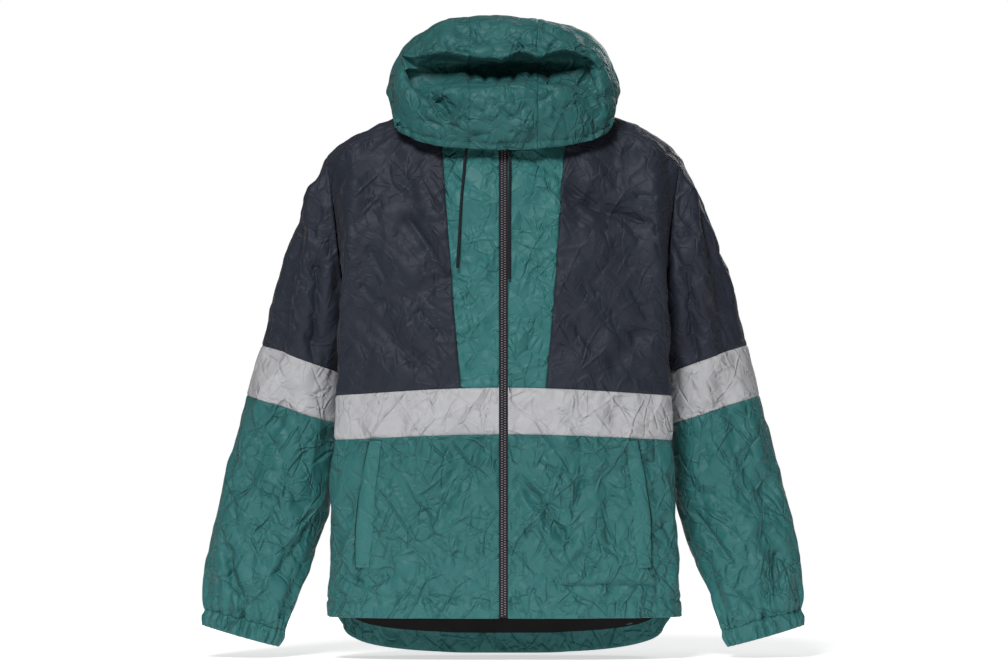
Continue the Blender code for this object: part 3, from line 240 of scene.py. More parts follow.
# ------------------------------------------------------------------ folds
# Folds and creases by the face they show on: x and z of the two ends, then the half width on
# either side and the depth, in millimetres. The first half width is on the wearer's right of a
# line that falls, or below one that runs to the left. Depth is negative for a trough.
FOLDS = {
    "front": (
        # lower fronts
        (-22, -482, -80, -576, 19, 5, -6.5), (-80, -576, -111, -602, 17, 6, -4.0),
        (-40, -474, -124, -612, 26, 12, -3.5), (13, -541, 51, -576, 7, 13, -6.0),
        (51, -576, 80, -620, 5, 11, -6.0), (80, -620, 97, -630, 5, 11, -5.0),
        (101, -645, 133, -669, 12, 12, -4.0), (77, -688, 217, -688, 10, 4, -3.4),
        (114, -482, 107, -564, 12, 12, -3.5), (147, -527, 151, -638, 14, 14, -3.5),
        (-215, -690, -150, -668, 14, 14, -3.5), (-238, -700, -150, -706, 9, 5, -2.2),
        (-150, -705, -14, -704, 8, 4, -1.3), (14, -705, 110, -704, 8, 4, -1.3),
        (110, -704, 238, -706, 8, 4, -1.6),
        # chests
        (-139, -169, -80, -270, 14, 14, -3.5), (87, -134, 192, -185, 14, 16, -4.5),
        (-200, -300, -120, -380, 16, 16, -4.0), (205, -330, 150, -385, 16, 16, -4.0),
        (-60, -250, -175, -300, 13, 13, -3.0), (110, -260, 190, -345, 13, 13, -3.0),
        # hood: the rolls at either end of its mouth, its inner wall and its crown
        (-140, 50, -118, 14, 8, 17, -3.4), (-118, 14, -77, -40, 8, 17, -3.2),
        (117, 58, 118, 39, 6, 6, -4.5), (118, 39, 104, 18, 6, 7, -6.0),
        (104, 18, 138, -30, 14, 7, -3.5), (-49, 38, -45, 13, 3, 5, -3.0),
        (-27, 36, -23, 10, 5, 3, -3.0), (-4, 38, -9, 12, 3, 4, -2.5), (13, 36, 15, 13, 4, 3, -3.0),
        (39, 40, 35, 15, 3, 5, -3.0), (60, 38, 64, 14, 4, 4, -2.5), (-25, 94, 34, 74, 14, 6, -4.5),
        (34, 74, 72, 66, 12, 5, -4.0), (-66, 96, -24, 80, 11, 5, -4.0),
        (-20, 80, -76, 60, 13, 5, -4.0), (56, 94, 96, 80, 12, 6, -3.0),
        (-100, 86, -122, 66, 10, 8, -1.8),
        # sleeves
        (-285, -180, -330, -380, 18, 18, -6.0), (-300, -420, -372, -560, 18, 18, -5.0),
        (-330, -560, -340, -680, 16, 16, -4.0), (290, -160, 318, -370, 18, 18, -6.0),
        (310, -400, 350, -560, 18, 18, -5.0), (368, -540, 385, -680, 16, 16, -4.0),
        (-265, -119, -292, -279, 9, 9, 3.0), (262, -125, 296, -290, 9, 9, 3.0),
        (-393, -634, -383, -698, 6, 12, -4.0), (-373, -694, -367, -742, 5, 6, -5.5),
        (-405, -706, -401, -738, 4, 5, -4.5), (-342, -712, -338, -748, 5, 4, -4.0),
        (393, -640, 386, -700, 12, 6, -4.0), (374, -698, 369, -742, 6, 5, -5.5),
        (345, -706, 350, -748, 5, 5, -4.5), (-262, -230, -268, -370, 8, 11, -5.5),
        (258, -240, 270, -380, 11, 8, -5.5), (-266, -600, -318, -676, 5, 12, -4.5),
        (268, -590, 322, -660, 12, 5, -4.5),
    ),
    "back": (
        # back
        (-130, -150, -85, -300, 26, 26, -5.0), (135, -170, 75, -330, 26, 26, -5.0),
        (-100, -520, -170, -660, 22, 22, 5.0), (60, -540, 150, -690, 22, 22, 5.0),
        (30, -120, -70, -190, 9, 5, -4.0), (-20, -230, 60, -290, 6, 11, -4.0),
        (-60, -500, 20, -560, 12, 5, -4.5), (20, -620, -60, -700, 5, 14, -4.5),
        (170, -520, 120, -620, 12, 5, -4.0), (-190, -500, -150, -570, 6, 12, -4.0),
        # sleeves
        (-290, -200, -330, -420, 20, 20, -6.0), (290, -220, 340, -440, 20, 20, -6.0),
        (-330, -470, -360, -660, 20, 20, -5.5), (325, -450, 370, -640, 20, 20, -5.5),
    ),
}
CREASES = {
    "front": (
        # right chest and strip
        (-100, -113, -80, -141, 3, 4, -2.0), (-111, -134, -89, -164, 3, 4, -2.0),
        (-136, -175, -98, -223, 4, 7, -3.2), (-153, -192, -121, -231, 4, 6, -2.4),
        (-94, -208, -79, -241, 3, 5, -2.2), (-108, -181, -84, -180, 3, 4, -1.8),
        (-162, -152, -146, -143, 3, 4, -1.8), (-146, -143, -116, -117, 4, 3, -2.2),
        (-189, -152, -169, -155, 4, 3, -1.8), (-72, -93, -61, -135, 3, 4, -2.0),
        (-34, -160, -22, -171, 3, 3, -1.6), (-188, -215, -165, -262, 4, 7, -2.4),
        (-120, -300, -85, -338, 6, 3, -2.2), (-200, -268, -176, -300, 3, 6, -2.0),
        (-98, -270, -130, -322, 3, 6, -2.0), (-66, -210, -50, -250, 3, 4, -1.8),
        (-52, -300, -38, -345, 3, 5, -2.0), (-30, -230, -44, -268, 3, 4, -1.6),
        # left chest and strip
        (89, -131, 133, -160, 3, 5, -2.4), (84, -143, 157, -170, 3, 5, -2.4),
        (158, -166, 213, -185, 3, 6, -3.4), (213, -185, 218, -198, 4, 4, -3.0),
        (139, -192, 144, -203, 3, 3, -1.8), (182, -194, 192, -205, 3, 3, -1.8),
        (104, -174, 122, -184, 3, 4, -2.0), (121, -188, 167, -190, 4, 3, -2.0),
        (123, -260, 133, -283, 3, 4, -2.2), (214, -212, 231, -244, 4, 5, -3.0),
        (37, -90, 83, -122, 3, 5, -2.4), (56, -118, 82, -155, 3, 5, -2.4),
        (17, -213, 40, -256, 3, 5, -2.4), (47, -241, 68, -272, 3, 5, -2.4),
        (49, -178, 63, -192, 4, 4, -2.0), (186, -143, 214, -143, 4, 3, -1.8),
        (150, -230, 128, -262, 3, 6, -2.0), (178, -270, 205, -318, 5, 3, -2.2),
        (95, -320, 128, -362, 3, 5, -2.0), (50, -310, 34, -360, 4, 3, -2.0),
        # right lower front
        (-100, -577, -80, -582, 3, 3, 1.6), (-133, -594, -104, -583, 4, 3, -2.0),
        (-22, -633, -9, -605, 3, 5, -2.6), (-29, -574, -34, -613, 3, 4, -2.0),
        (-66, -648, -61, -626, 3, 4, -2.4), (-87, -633, -83, -667, 3, 4, -1.8),
        (-132, -635, -111, -659, 3, 4, -2.2), (-104, -669, -80, -697, 3, 4, -2.4),
        (-114, -675, -104, -686, 3, 3, -1.8), (-186, -687, -155, -673, 5, 3, -2.8),
        (-227, -674, -199, -689, 4, 4, -3.2), (-215, -697, -197, -687, 3, 4, 2.0),
        (-210, -687, -197, -708, 3, 3, 1.8), (-220, -517, -197, -492, 3, 4, -2.2),
        (-147, -633, -158, -658, 3, 4, -1.8), (-226, -560, -212, -590, 5, 3, -2.4),
        (-232, -610, -208, -625, 3, 4, -2.2), (-58, -505, -92, -548, 3, 4, 1.6),
        (-150, -505, -128, -540, 3, 5, -1.8), (-40, -520, -18, -500, 3, 4, -2.0),
        # left lower front
        (9, -542, 26, -576, 3, 4, -2.4), (24, -603, 36, -620, 3, 4, -2.4),
        (37, -610, 54, -627, 3, 4, -2.4), (30, -658, 40, -673, 3, 4, -2.0),
        (58, -665, 77, -684, 3, 4, -2.2), (52, -687, 36, -702, 3, 3, -2.0),
        (112, -541, 102, -576, 3, 6, -2.2), (201, -510, 213, -564, 4, 6, -3.0),
        (221, -592, 238, -631, 3, 5, -2.8), (227, -654, 211, -679, 4, 4, -2.6),
        (60, -500, 40, -530, 3, 4, -1.8), (75, -560, 100, -590, 3, 4, -1.6),
        (178, -500, 170, -530, 3, 4, -1.8), (205, -620, 232, -600, 4, 3, -2.0),
        (130, -610, 120, -650, 4, 3, -1.8),
        # sleeves
        (-266, -587, -292, -610, 3, 4, -3.0), (-382, -573, -368, -628, 4, 5, -2.8),
        (-393, -631, -376, -704, 4, 6, -3.4), (-289, -482, -276, -500, 3, 4, -2.6),
        (-358, -473, -347, -492, 3, 4, -2.2), (-342, -544, -347, -576, 3, 4, -2.0),
        (-307, -532, -307, -566, 3, 5, -2.2), (-365, -704, -328, -701, 4, 3, 1.8),
        (-372, -708, -372, -738, 4, 5, -3.2), (-300, -640, -335, -655, 4, 3, -2.0),
        (-330, -430, -318, -470, 3, 5, -2.0), (-318, -300, -310, -345, 5, 3, -2.4),
        (-290, -330, -305, -300, 3, 4, -2.0), (-270, -200, -255, -160, 4, 4, -2.2),
        (-300, -240, -280, -275, 3, 5, -2.2), (235, -209, 251, -251, 4, 5, -4.0),
        (262, -280, 283, -330, 4, 6, -2.6), (300, -250, 282, -215, 3, 4, -2.2),
        (330, -350, 312, -310, 3, 5, -2.0), (296, -470, 318, -510, 3, 5, -2.6),
        (360, -480, 344, -520, 4, 3, -2.2), (290, -560, 322, -590, 3, 5, -2.8),
        (372, -600, 360, -650, 5, 4, -2.8), (345, -640, 330, -690, 4, 4, -2.6),
        (396, -640, 384, -705, 6, 4, -3.2), (320, -690, 352, -702, 3, 4, 2.0),
        # hood
        (-139, 45, -116, 3, 3, 24, -10.0), (-116, 3, -79, -39, 3, 26, -10.0),
        (121, 20, 143, -11, 14, 5, -5.0), (-79, -14, -48, -41, 4, 3, -3.0),
        (-39, -21, -30, -30, 3, 4, -2.6), (-30, -30, -19, -10, 4, 3, -2.6),
        (-17, -12, 12, -39, 4, 6, -3.4), (34, -19, 10, -39, 5, 5, -3.4),
        (72, 2, 48, -17, 4, 4, -3.0), (72, -28, 109, -14, 4, 5, -3.2),
        (68, -35, 79, -46, 3, 4, -2.6), (10, -54, 23, -61, 4, 4, -3.0),
        (-43, -63, -17, -57, 3, 3, -2.2), (-121, -36, -86, -50, 4, 4, -2.8),
        (15, 77, 50, 63, 5, 4, -3.6), (23, 74, 19, 58, 4, 5, -4.0), (-30, 73, -3, 79, 4, 4, -3.0),
        (-83, 73, -48, 54, 4, 5, -3.6), (115, 79, 119, 62, 4, 4, -3.4),
        (80, 72, 60, 60, 4, 4, -2.8), (-100, 60, -122, 48, 4, 5, -3.0),
    ),
    "back": (
        # sleeves
        (-300, -300, -270, -350, 3, 6, -2.6), (300, -320, 280, -270, 4, 5, -2.6),
        (-370, -560, -340, -600, 3, 5, -2.6), (380, -600, 345, -560, 4, 4, -2.6),
        # back of the body
        (-90, -140, -40, -165, 3, 5, -2.4), (100, -200, 150, -235, 3, 6, -2.6),
        (40, -330, 95, -365, 5, 3, -2.2), (-150, -330, -110, -290, 3, 5, -2.4),
        (-60, -250, -85, -285, 3, 4, -2.2), (0, -180, 25, -215, 3, 4, -2.0),
        (-120, -590, -80, -620, 3, 5, -2.4), (90, -650, 130, -630, 4, 3, -2.2),
        (30, -520, 10, -560, 3, 5, -2.0), (-30, -660, 0, -690, 3, 4, -2.0),
        (160, -580, 185, -620, 4, 4, -2.4), (-180, -640, -150, -690, 4, 4, -2.4),
        # hood
        (-60, 60, -20, 20, 4, 7, -3.6), (70, 50, 40, 0, 6, 4, -3.6), (0, 80, 25, 50, 4, 5, -3.0),
        (-90, 10, -60, -20, 4, 5, -3.0),
    ),
}
FOLD_DEPTH, CREASE_DEPTH = 2.4, 1.7
# the zip keeps the middle of the front flat: where its hold starts to fade, and over how far
FLAT_START, FLAT_FADE = 0.010, 0.029

# how finely each stretch is divided
STRIP_COLUMNS = 28
SIDE_COLUMNS = 96
NECK_COLUMNS = 44
ROWS = {"lower": 104, "band": 28, "chest": 46, "armhole": 130}
SLEEVE_COLUMNS = 156
SLEEVE_ROWS = {"upper": 112, "band": 30, "lower": 124, "cuff": 14}
HOOD_ROWS = 210
HOOD_COLUMNS = {"centre": 40, "side": 120}

# how far from the armhole, and over how many rows below it, the relief fades out
ARMHOLE_FADE, FADE_ROWS = 0.028, 12
# the floor: its reach in x and y, and how far it lies below the jacket
FLOOR_X, FLOOR_Y, FLOOR_GAP = (-1.6, 1.6), (-0.55, 1.7), 0.004
# lamps: place, what each one faces, width, height and power
LAMPS = {
    "key": ((-0.65, -2.7, 2.1), (0.0, 0.0, -0.4), 1.0, 0.9, 115.0),
    "low": ((0.0, -1.55, -0.70), (0.0, 0.0, -0.74), 1.6, 0.10, 7.0),
    "top": ((0.1, -0.3, 2.3), (0.0, 0.0, -0.3), 1.2, 0.8, 7.0),
    "rear": ((1.2, 3.0, 1.0), (0.0, 0.0, -0.3), 1.6, 1.4, 30.0),
}
BACKGROUND_AS_LAMP = 0.08
# how wide the camera sees at the jacket, and how far in front of it it stands
VIEW_WIDTH = 1008 * 0.00141
CAMERA_AWAY = 10.0

NODE = {
    "centre_strip": "front_centre", "chest_panel": "front_chest", "front_stripe": "front_band",
    "lower_front": "front_lower", "back_yoke": "back_upper", "back_stripe": "back_band",
    "lower_back": "back_lower",
}
SEAMS = dict.fromkeys(("low", "high", "right", "left"), "seam")
# what each kind of edge turns in: how deep its rows lie, and how far they reach beyond the edge
TURN_IN = {
    "seam": ((0.0012, 0.0), (0.0035, 0.0)),
    "hem": ((0.0004, 0.0009), (0.0011, 0.0013), (0.0018, 0.0009)),
    "edge": ((0.0005, 0.0003), (0.0010, 0.0)),
}
HEM_INSIDE = 0.0022
# how the cloth dips at a seam and at a line of stitches: depth and half width
SEAM_DIP, STITCH_DIP = (0.0013, 0.0023), (0.0021, 0.0027)
# and the puckers beside them: height, distance and half width
SEAM_PUCKER, STITCH_PUCKER = (0.0018, 0.005, 0.008), (0.0028, 0.0, 0.012)
# rows of cloth folded in at the front's hem, the tail's, the hood's and the cuffs'
HEM_ROWS, TAIL_ROWS, BRIM_ROWS, CUFF_ROWS = 9, 10, 4, 3
# rows from a seam over which the two pieces' normals part
BODY_BLEND, HOOD_BLEND = 14, 6
# a line of stitches stands this far inside the casing's depth, on the front and on the tail
STITCH_INSET, TAIL_STITCH_INSET = 0.0015, 0.002


# ------------------------------------------------------------------ the cut of the cloth
def spline(knots, values, t, flat=False):
    """Smooth curve through values at the knots, read at t; each value may be an array like t."""
    t = np.asarray(t, float)
    k = np.asarray(knots, float)
    v = np.stack([np.broadcast_to(np.asarray(value, float), t.shape) for value in values])
    step = np.diff(k).reshape((-1,) + (1,) * t.ndim)
    rise = (v[1:] - v[:-1]) / step
    slope = np.empty_like(v)
    slope[1:-1] = (rise[:-1] * step[1:] + rise[1:] * step[:-1]) / (step[1:] + step[:-1])
    slope[0] = 0.0 if flat else rise[0]
    slope[-1] = 0.0 if flat else rise[-1]
    i = np.clip(np.searchsorted(k, t, side="right") - 1, 0, len(k) - 2)
    h = np.diff(k)[i]
    s = (t - k[i]) / h

    def take(rows, at):
        return np.take_along_axis(rows, at[None], 0)[0]

    return ((1 + 2 * s) * (1 - s) ** 2 * take(v, i) + s * (1 - s) ** 2 * h * take(slope, i)
            + s * s * (3 - 2 * s) * take(v, i + 1) + s * s * (s - 1) * h * take(slope, i + 1))


def column(table, place, t):
    """Smooth curve through one column of a table, against its first column."""
    return spline([row[0] for row in table], [row[place] for row in table], t)


def route(table, t):
    return np.stack([column(table, axis, t) for axis in (1, 2, 3)], -1)


def through(knots, stops, t):
    """Smooth curve through points, one for each knot."""
    return np.stack([spline(knots, [stop[..., axis] for stop in stops], t)
                     for axis in range(3)], -1)


def unit(vectors):
    return vectors / np.maximum(np.linalg.norm(vectors, axis=-1, keepdims=True), 1e-12)


def ease(t):
    t = np.clip(t, 0.0, 1.0)
    return t * t * (3 - 2 * t)


def mix(a, b, t):
    return a + (b - a) * t


def point(x, y, z):
    return np.stack(np.broadcast_arrays(x, y, z), -1)


def torso(around, z):
    """The body's ring at level z: around 0 is centre front, 1 the side seam, 2 centre back."""
    droop, half, front_y, edge_y, side_x, side_y, back_x, back_y, middle_y = (
        column(SECTIONS, place, z) for place in range(1, 10))
    xs = (0.0, CHEST_X[0] * half, CHEST_X[1] * half, half, side_x, back_x, BACK_X * back_x, 0.0)
    ys = (-front_y, -CHEST_Y[0] * front_y, -CHEST_Y[1] * front_y, edge_y, side_y, back_y,
          BACK_Y * middle_y, middle_y)
    hang = droop * np.sin(0.5 * math.pi * around) ** 2
    return point(spline(RING_KNOTS, xs, around), spline(RING_KNOTS, ys, around, flat=True),
                 z - hang)


def around_front(across, z):
    reach = RING_KNOTS[1] / (CHEST_X[0] * column(SECTIONS, HALF_WIDTH, z))
    zip_edge = reach * ZIP_HALF
    strip = reach * (STRIP_LOW + STRIP_FLARE * np.maximum(z - BAND_TOP, 0.0))
    return np.where(across < 1, mix(zip_edge, strip, across), mix(strip, 1.0, across - 1))


def around_back(across, z):
    return 2.0 - np.where(across < 1, BACK_NECK * across, mix(BACK_NECK, 1.0, across - 1))


def arch(base, end, angle, last=math.pi / 2):
    """An arc of an ellipse that leaves base upwards and reaches end at the angle last."""
    up = np.sin(angle) / np.sin(last)
    over = (1 - np.cos(angle)) / (1 - np.cos(last))
    return point(mix(base[..., 0], end[..., 0], up), mix(base[..., 1], end[..., 1], over),
                 mix(base[..., 2], end[..., 2], up))


def neck_corner():
    base = torso(around_front(np.array(1.0), np.array(CHEST)), np.array(CHEST))
    return arch(base, route(RIDGE, np.array(0.0)), SEAM_ANGLE)


def neckline_front(across):
    corner = neck_corner()
    x = mix(ZIP_HALF, corner[0], across)
    bend = 0.97
    rise = (1 - np.sqrt(1 - (bend * x / corner[0]) ** 2)) / (1 - math.sqrt(1 - bend ** 2))
    return point(x, mix(NECK_FRONT[1], corner[1], rise), mix(NECK_FRONT[2], corner[2], rise))


def neckline_back(across):
    corner = neck_corner()
    return route(NECK_BACK + ((1.0, *corner),), across)


def front_upper(across, up):
    z = np.full(np.shape(across), CHEST)
    base = torso(around_front(across, z), z)
    over = arch(base, route(RIDGE, np.clip(across - 1, 0.0, 1.0)), up * SEAM_ANGLE)
    last = mix(NECK_ANGLE_FRONT, SEAM_ANGLE, np.clip(across, 0.0, 1.0))
    neck = arch(base, neckline_front(np.clip(across, 0.0, 1.0)), up * last, last)
    return np.where((across < 1)[..., None], neck, over)


def back_upper(across, up):
    z = np.full(np.shape(across), CHEST)
    base = torso(around_back(across, z), z)
    shoulder = np.clip(across - 1, 0.0, 1.0)
    beside_neck = np.clip((across - RIDGE_START) / (1 - RIDGE_START), 0.0, 1.0)
    ridge = route(RIDGE, mix(RIDGE_SHIFT * beside_neck, 1.0, shoulder))
    neck_end = neckline_back(np.clip(across, 0.0, 1.0))
    seam = front(np.clip(across, 1.0, 2.0), z + 1.0)
    over = ease(beside_neck)[..., None]
    stops = [mix(arch(base, neck_end, knot * NECK_ANGLE_BACK, NECK_ANGLE_BACK),
                 arch(base, ridge, angle), over) for knot, angle in zip(BACK_KNOTS, BACK_ANGLES)]
    stops.append(np.where((across < 1)[..., None], neck_end, seam))
    return through(BACK_KNOTS, stops, up)


def body_face(across, height, around, upper_part, armhole, pull_start):
    """One face of the body: across runs from its middle (0) past the neck's side (1) to its edge
    (2), and height is a level up to the chest, then the way from there to the shoulder's seam."""
    across, height = np.broadcast_arrays(np.asarray(across, float), np.asarray(height, float))
    low = np.minimum(height, CHEST)
    up = np.clip(height - CHEST, 0.0, None)
    off_edge = route(armhole, up) - upper_part(np.full_like(across, 2.0), up)
    pull = ease((across - pull_start) / (2.0 - pull_start))[..., None]
    upper = upper_part(across, up) + off_edge * pull
    return np.where((height > CHEST)[..., None], upper, torso(around(across, low), low))


def front(across, height):
    return body_face(across, height, around_front, front_upper, ARMHOLE_FRONT, FRONT_PULL)


def back(across, height):
    return body_face(across, height, around_back, back_upper, ARMHOLE_BACK, BACK_PULL)


def tail_hem(across):
    return HEM - TAIL_DROP * (1 - (across / 2) ** TAIL_POWER)


def sleeve(loop, turn, down):
    """The sleeve: loop is the armhole's point of the column, turn its angle from the outer edge
    through the front, down the way along the outer edge."""
    knots = [0.0, SLEEVE_CAP] + [row[0] for row in SLEEVE]
    across = 0.5 * (1 + np.cos(turn))
    rings = [point(mix(inner_x, outer_x, across), y - depth * np.sin(turn),
                   mix(inner_z, outer_z, across))
             for _, inner_x, inner_z, outer_x, outer_z, y, depth in SLEEVE]
    outward = np.maximum(np.cos(turn), 0.0)
    stand_out = CAP_RISE * outward + CAP_FULL * np.abs(np.sin(turn))
    bulge = point(stand_out * CAP_LEAN[0] * outward, -stand_out * np.sin(turn),
                  stand_out * CAP_LEAN[1] * outward)
    cap = mix(loop, rings[0], SLEEVE_CAP / BAND_START) + bulge
    return through(knots, [loop, cap] + rings, down)


def lengths(grid, axis):
    """Distance from the first row or column, along the other one; of a line, along it."""
    step = np.linalg.norm(np.diff(grid, axis=axis), axis=-1)
    start = np.zeros_like(np.take(step, [0], axis=axis))
    return np.concatenate([start, np.cumsum(step, axis=axis)], axis=axis)


def places_along(line, way, at):
    """Places on a line whose points stand at the given ways."""
    return np.stack([np.interp(at, way, values) for values in line.T], -1)


def armhole_loop(count):
    """The armhole's points, from the underarm up the back and down the front, and their turns."""
    ups = CHEST + np.linspace(0.0, 1.0, 200)
    edge = np.concatenate([back(2.0, ups), front(2.0, ups)[-2::-1]])
    way = lengths(edge, 0)
    top = way[np.argmax(edge[:, 2])]
    at = np.arange(count) / count * way[-1]
    turn = np.where(at <= top, at / top - 1, (at - top) / (way[-1] - top))
    return places_along(edge, way, at), math.pi * turn


def lip_wave(x, way):
    """The crown's lip over the hood's mouth rises and falls from side to side."""
    rise = np.interp(x, [place for place, _ in LIP], [height for _, height in LIP])
    mouth = np.exp(-((way - LIP_WAY) / LIP_REACH) ** 2)
    return 0.001 * rise * mouth


def hood_closing(way):
    return ease((way - HOOD_CLOSE) / (1 - HOOD_CLOSE))


def hood_profile(x, way):
    draw = (1 - np.minimum(np.abs(x) / HOOD_HALF, 0.999) ** HOOD_POWER) ** (1 / HOOD_POWER)
    draw = mix(draw, 1.0, hood_closing(way) * (np.abs(x) <= PANEL_HALF + 1e-9))
    aside = ease((np.abs(x) - FOLD_FADE[0]) / (FOLD_FADE[1] - FOLD_FADE[0]))
    profile_y = mix(column(HOOD, 1, way), column(HOOD, 3, way), aside)
    profile_z = mix(column(HOOD, 2, way), column(HOOD, 4, way), aside)
    return point(x, mix(HOOD_AXIS[0], profile_y, draw),
                 mix(HOOD_AXIS[1], profile_z, draw) + lip_wave(x, way))


def hood_neck(way):
    fronts = neckline_front(np.clip(2 * way, 0.0, 1.0))
    backs = neckline_back(np.interp(way, NECK_WAYS, NECK_PLACES))
    return np.where((way < 0.5)[..., None], fronts, backs)


def hood_centre(across, way):
    x = across * PANEL_HALF
    at = hood_profile(x, way)
    seam = neckline_back(np.abs(across) * NECK_CORNER)
    end = point(np.sign(across) * seam[..., 0], seam[..., 1], seam[..., 2])
    start = hood_profile(x, np.ones_like(x))
    return at + (end - start) * (hood_closing(way) ** 2)[..., None]


def hood_side(across, way):
    seam = hood_centre(np.ones_like(across), way)
    cap, under = (point(*(column(HOOD, place, way) for place in places))
                  for places in (CAP_COLUMNS, UNDER_COLUMNS))
    neck = hood_neck(way)
    fill = 1 - ease((way - 0.90) / 0.10)[..., None]
    stops = [seam]
    for share in PROFILE_SHARES:
        x = mix(PANEL_HALF, cap[..., 0], share)
        stops.append(mix(mix(seam, cap, share), hood_profile(x, way), fill))
    stand = mix(*COLLAR_HEIGHT, ease(2 * way)) * (1 - ease((way - 0.8) / 0.2))
    lean = COLLAR_BACK * ease((way - 0.1) / 0.25) * (1 - ease((way - 0.36) / 0.3))
    rise = mix(neck, under, 0.25) + point(0.0, lean, stand)
    lip = (np.clip(1 - way / COLLAR, 0.0, 1.0) ** 1.5)[..., None]
    rise = mix(rise, np.array(HOOD_LIP), lip)
    shape = through(HOOD_KNOTS, stops + [cap, under, rise, neck], across)
    shape[..., 0] = np.maximum(shape[..., 0], ZIP_HALF)
    last = neckline_back(mix(NECK_CORNER, NECK_PLACES[-1], across))
    return np.where((way > 0.9999)[..., None], last, shape)


def normals(grid, closed=False):
    if closed:
        grid = np.concatenate([grid[:, -1:], grid, grid[:, :1]], 1)
    cell = unit(np.cross(grid[1:, 1:] - grid[:-1, :-1], grid[1:, :-1] - grid[:-1, 1:]))
    columns = cell[:, 1:] + cell[:, :-1]
    if not closed:
        columns = np.concatenate([cell[:, :1], columns, cell[:, -1:]], 1)
    return unit(np.concatenate([columns[:1], columns[1:] + columns[:-1], columns[-1:]]))


# ------------------------------------------------------------------ relief of the cloth
def cell_mark(cells):
    """One whole number for each whole-number cell."""
    cell = cells.astype(np.int64).astype(np.uint64)
    return (cell[..., 0] * np.uint64(73856093) ^ cell[..., 1] * np.uint64(19349663)
            ^ cell[..., 2] * np.uint64(83492791))


def gradient_noise(p, seed):
    """Smooth noise at points p, about -1 to 1 with a wave about 1 long."""
    base = np.floor(p)
    f = p - base
    fade = f * f * f * (f * (f * 6 - 15) + 10)
    total = np.zeros(p.shape[:-1])
    for corner in range(8):
        step = np.array([(corner >> axis) & 1 for axis in range(3)])
        h = cell_mark(base + step) ^ np.uint64(seed * 2654435761)
        h ^= h >> np.uint64(13)
        h *= np.uint64(0x9E3779B97F4A7C15)
        h ^= h >> np.uint64(29)
        angle = (h & np.uint64(0xFFFF)).astype(float) * (2 * math.pi / 65536)
        rise = ((h >> np.uint64(16)) & np.uint64(0xFFFF)).astype(float) / 32768 - 1
        flat = np.sqrt(np.maximum(1 - rise * rise, 0))
        away = f - step
        dot = (away[..., 0] * flat * np.cos(angle) + away[..., 1] * flat * np.sin(angle)
               + away[..., 2] * rise)
        total += np.prod(np.where(step == 1, fade, 1 - fade), axis=-1) * dot
    return total * 1.6


def scatter(cells, seed, count):
    """Fixed numbers from 0 to 1 for each whole-number cell."""
    h = cell_mark(cells) + np.uint64(seed * 7919)
    numbers = []
    for _ in range(count):
        h = (h ^ (h >> np.uint64(31))) * np.uint64(0x9E3779B97F4A7C15)
        h = h ^ (h >> np.uint64(27))
        numbers.append((h & np.uint64(0xFFFFF)).astype(float) / 0xFFFFF)
    return numbers


def facets(places, cell, stretch, lean, seed):
    """Shallow bowls that meet in sharp straight ridges, from about 0 to 1 high."""
    turn_cos, turn_sin = math.cos(lean), math.sin(lean)
    x, y, z = places[..., 0], places[..., 1], places[..., 2]
    p = np.stack([(x * turn_cos + z * turn_sin) / cell, y / cell,
                  (z * turn_cos - x * turn_sin) / (cell * stretch)], -1).reshape(-1, 3)
    base = np.floor(p)
    lowest = np.full(len(p), 9.0)
    for corner in range(27):
        site = base + np.array([corner % 3 - 1, corner // 3 % 3 - 1, corner // 9 - 1])
        sx, sy, sz, gx, gy, gz, rise = scatter(site, seed, 7)
        dx, dy, dz = (p[:, i] - site[:, i] - 0.1 - 0.8 * jitter
                      for i, jitter in enumerate((sx, sy, sz)))
        value = (dx * dx + dy * dy + dz * dz + 0.7 * ((gx - 0.5) * dx + (gy - 0.5) * dy
                 + (gz - 0.5) * dz) + 0.30 * rise)
        np.minimum(lowest, value, out=lowest)
    return lowest.reshape(places.shape[:-1])


# sharp creases of thin nylon: cell, how long, lean in degrees, height in metres, seed
CRUMPLE = (
    (0.058, 2.4, 32, 0.0066, 1),
    (0.047, 2.2, -38, -0.0056, 2),
    (0.027, 2.2, -24, 0.0030, 3),
    (0.023, 2.0, 48, -0.0027, 4),
)
FACET_MEAN = 0.30
WARP = 0.010


def crinkle(places):
    """The small sharp creases that cover the cloth, in metres."""
    warp = np.stack([gradient_noise(places * 11 + shift, 11) for shift in (0.0, 7.3, 15.1)], -1)
    p = places + WARP * warp
    total = np.zeros(places.shape[:-1])
    for cell, stretch, lean, height, seed in CRUMPLE:
        total += height * (facets(p, cell, stretch, math.radians(lean), seed) - FACET_MEAN)
    swell = gradient_noise(places * 6.0 + 3.0, 9)
    return total * (0.9 + 0.5 * swell)


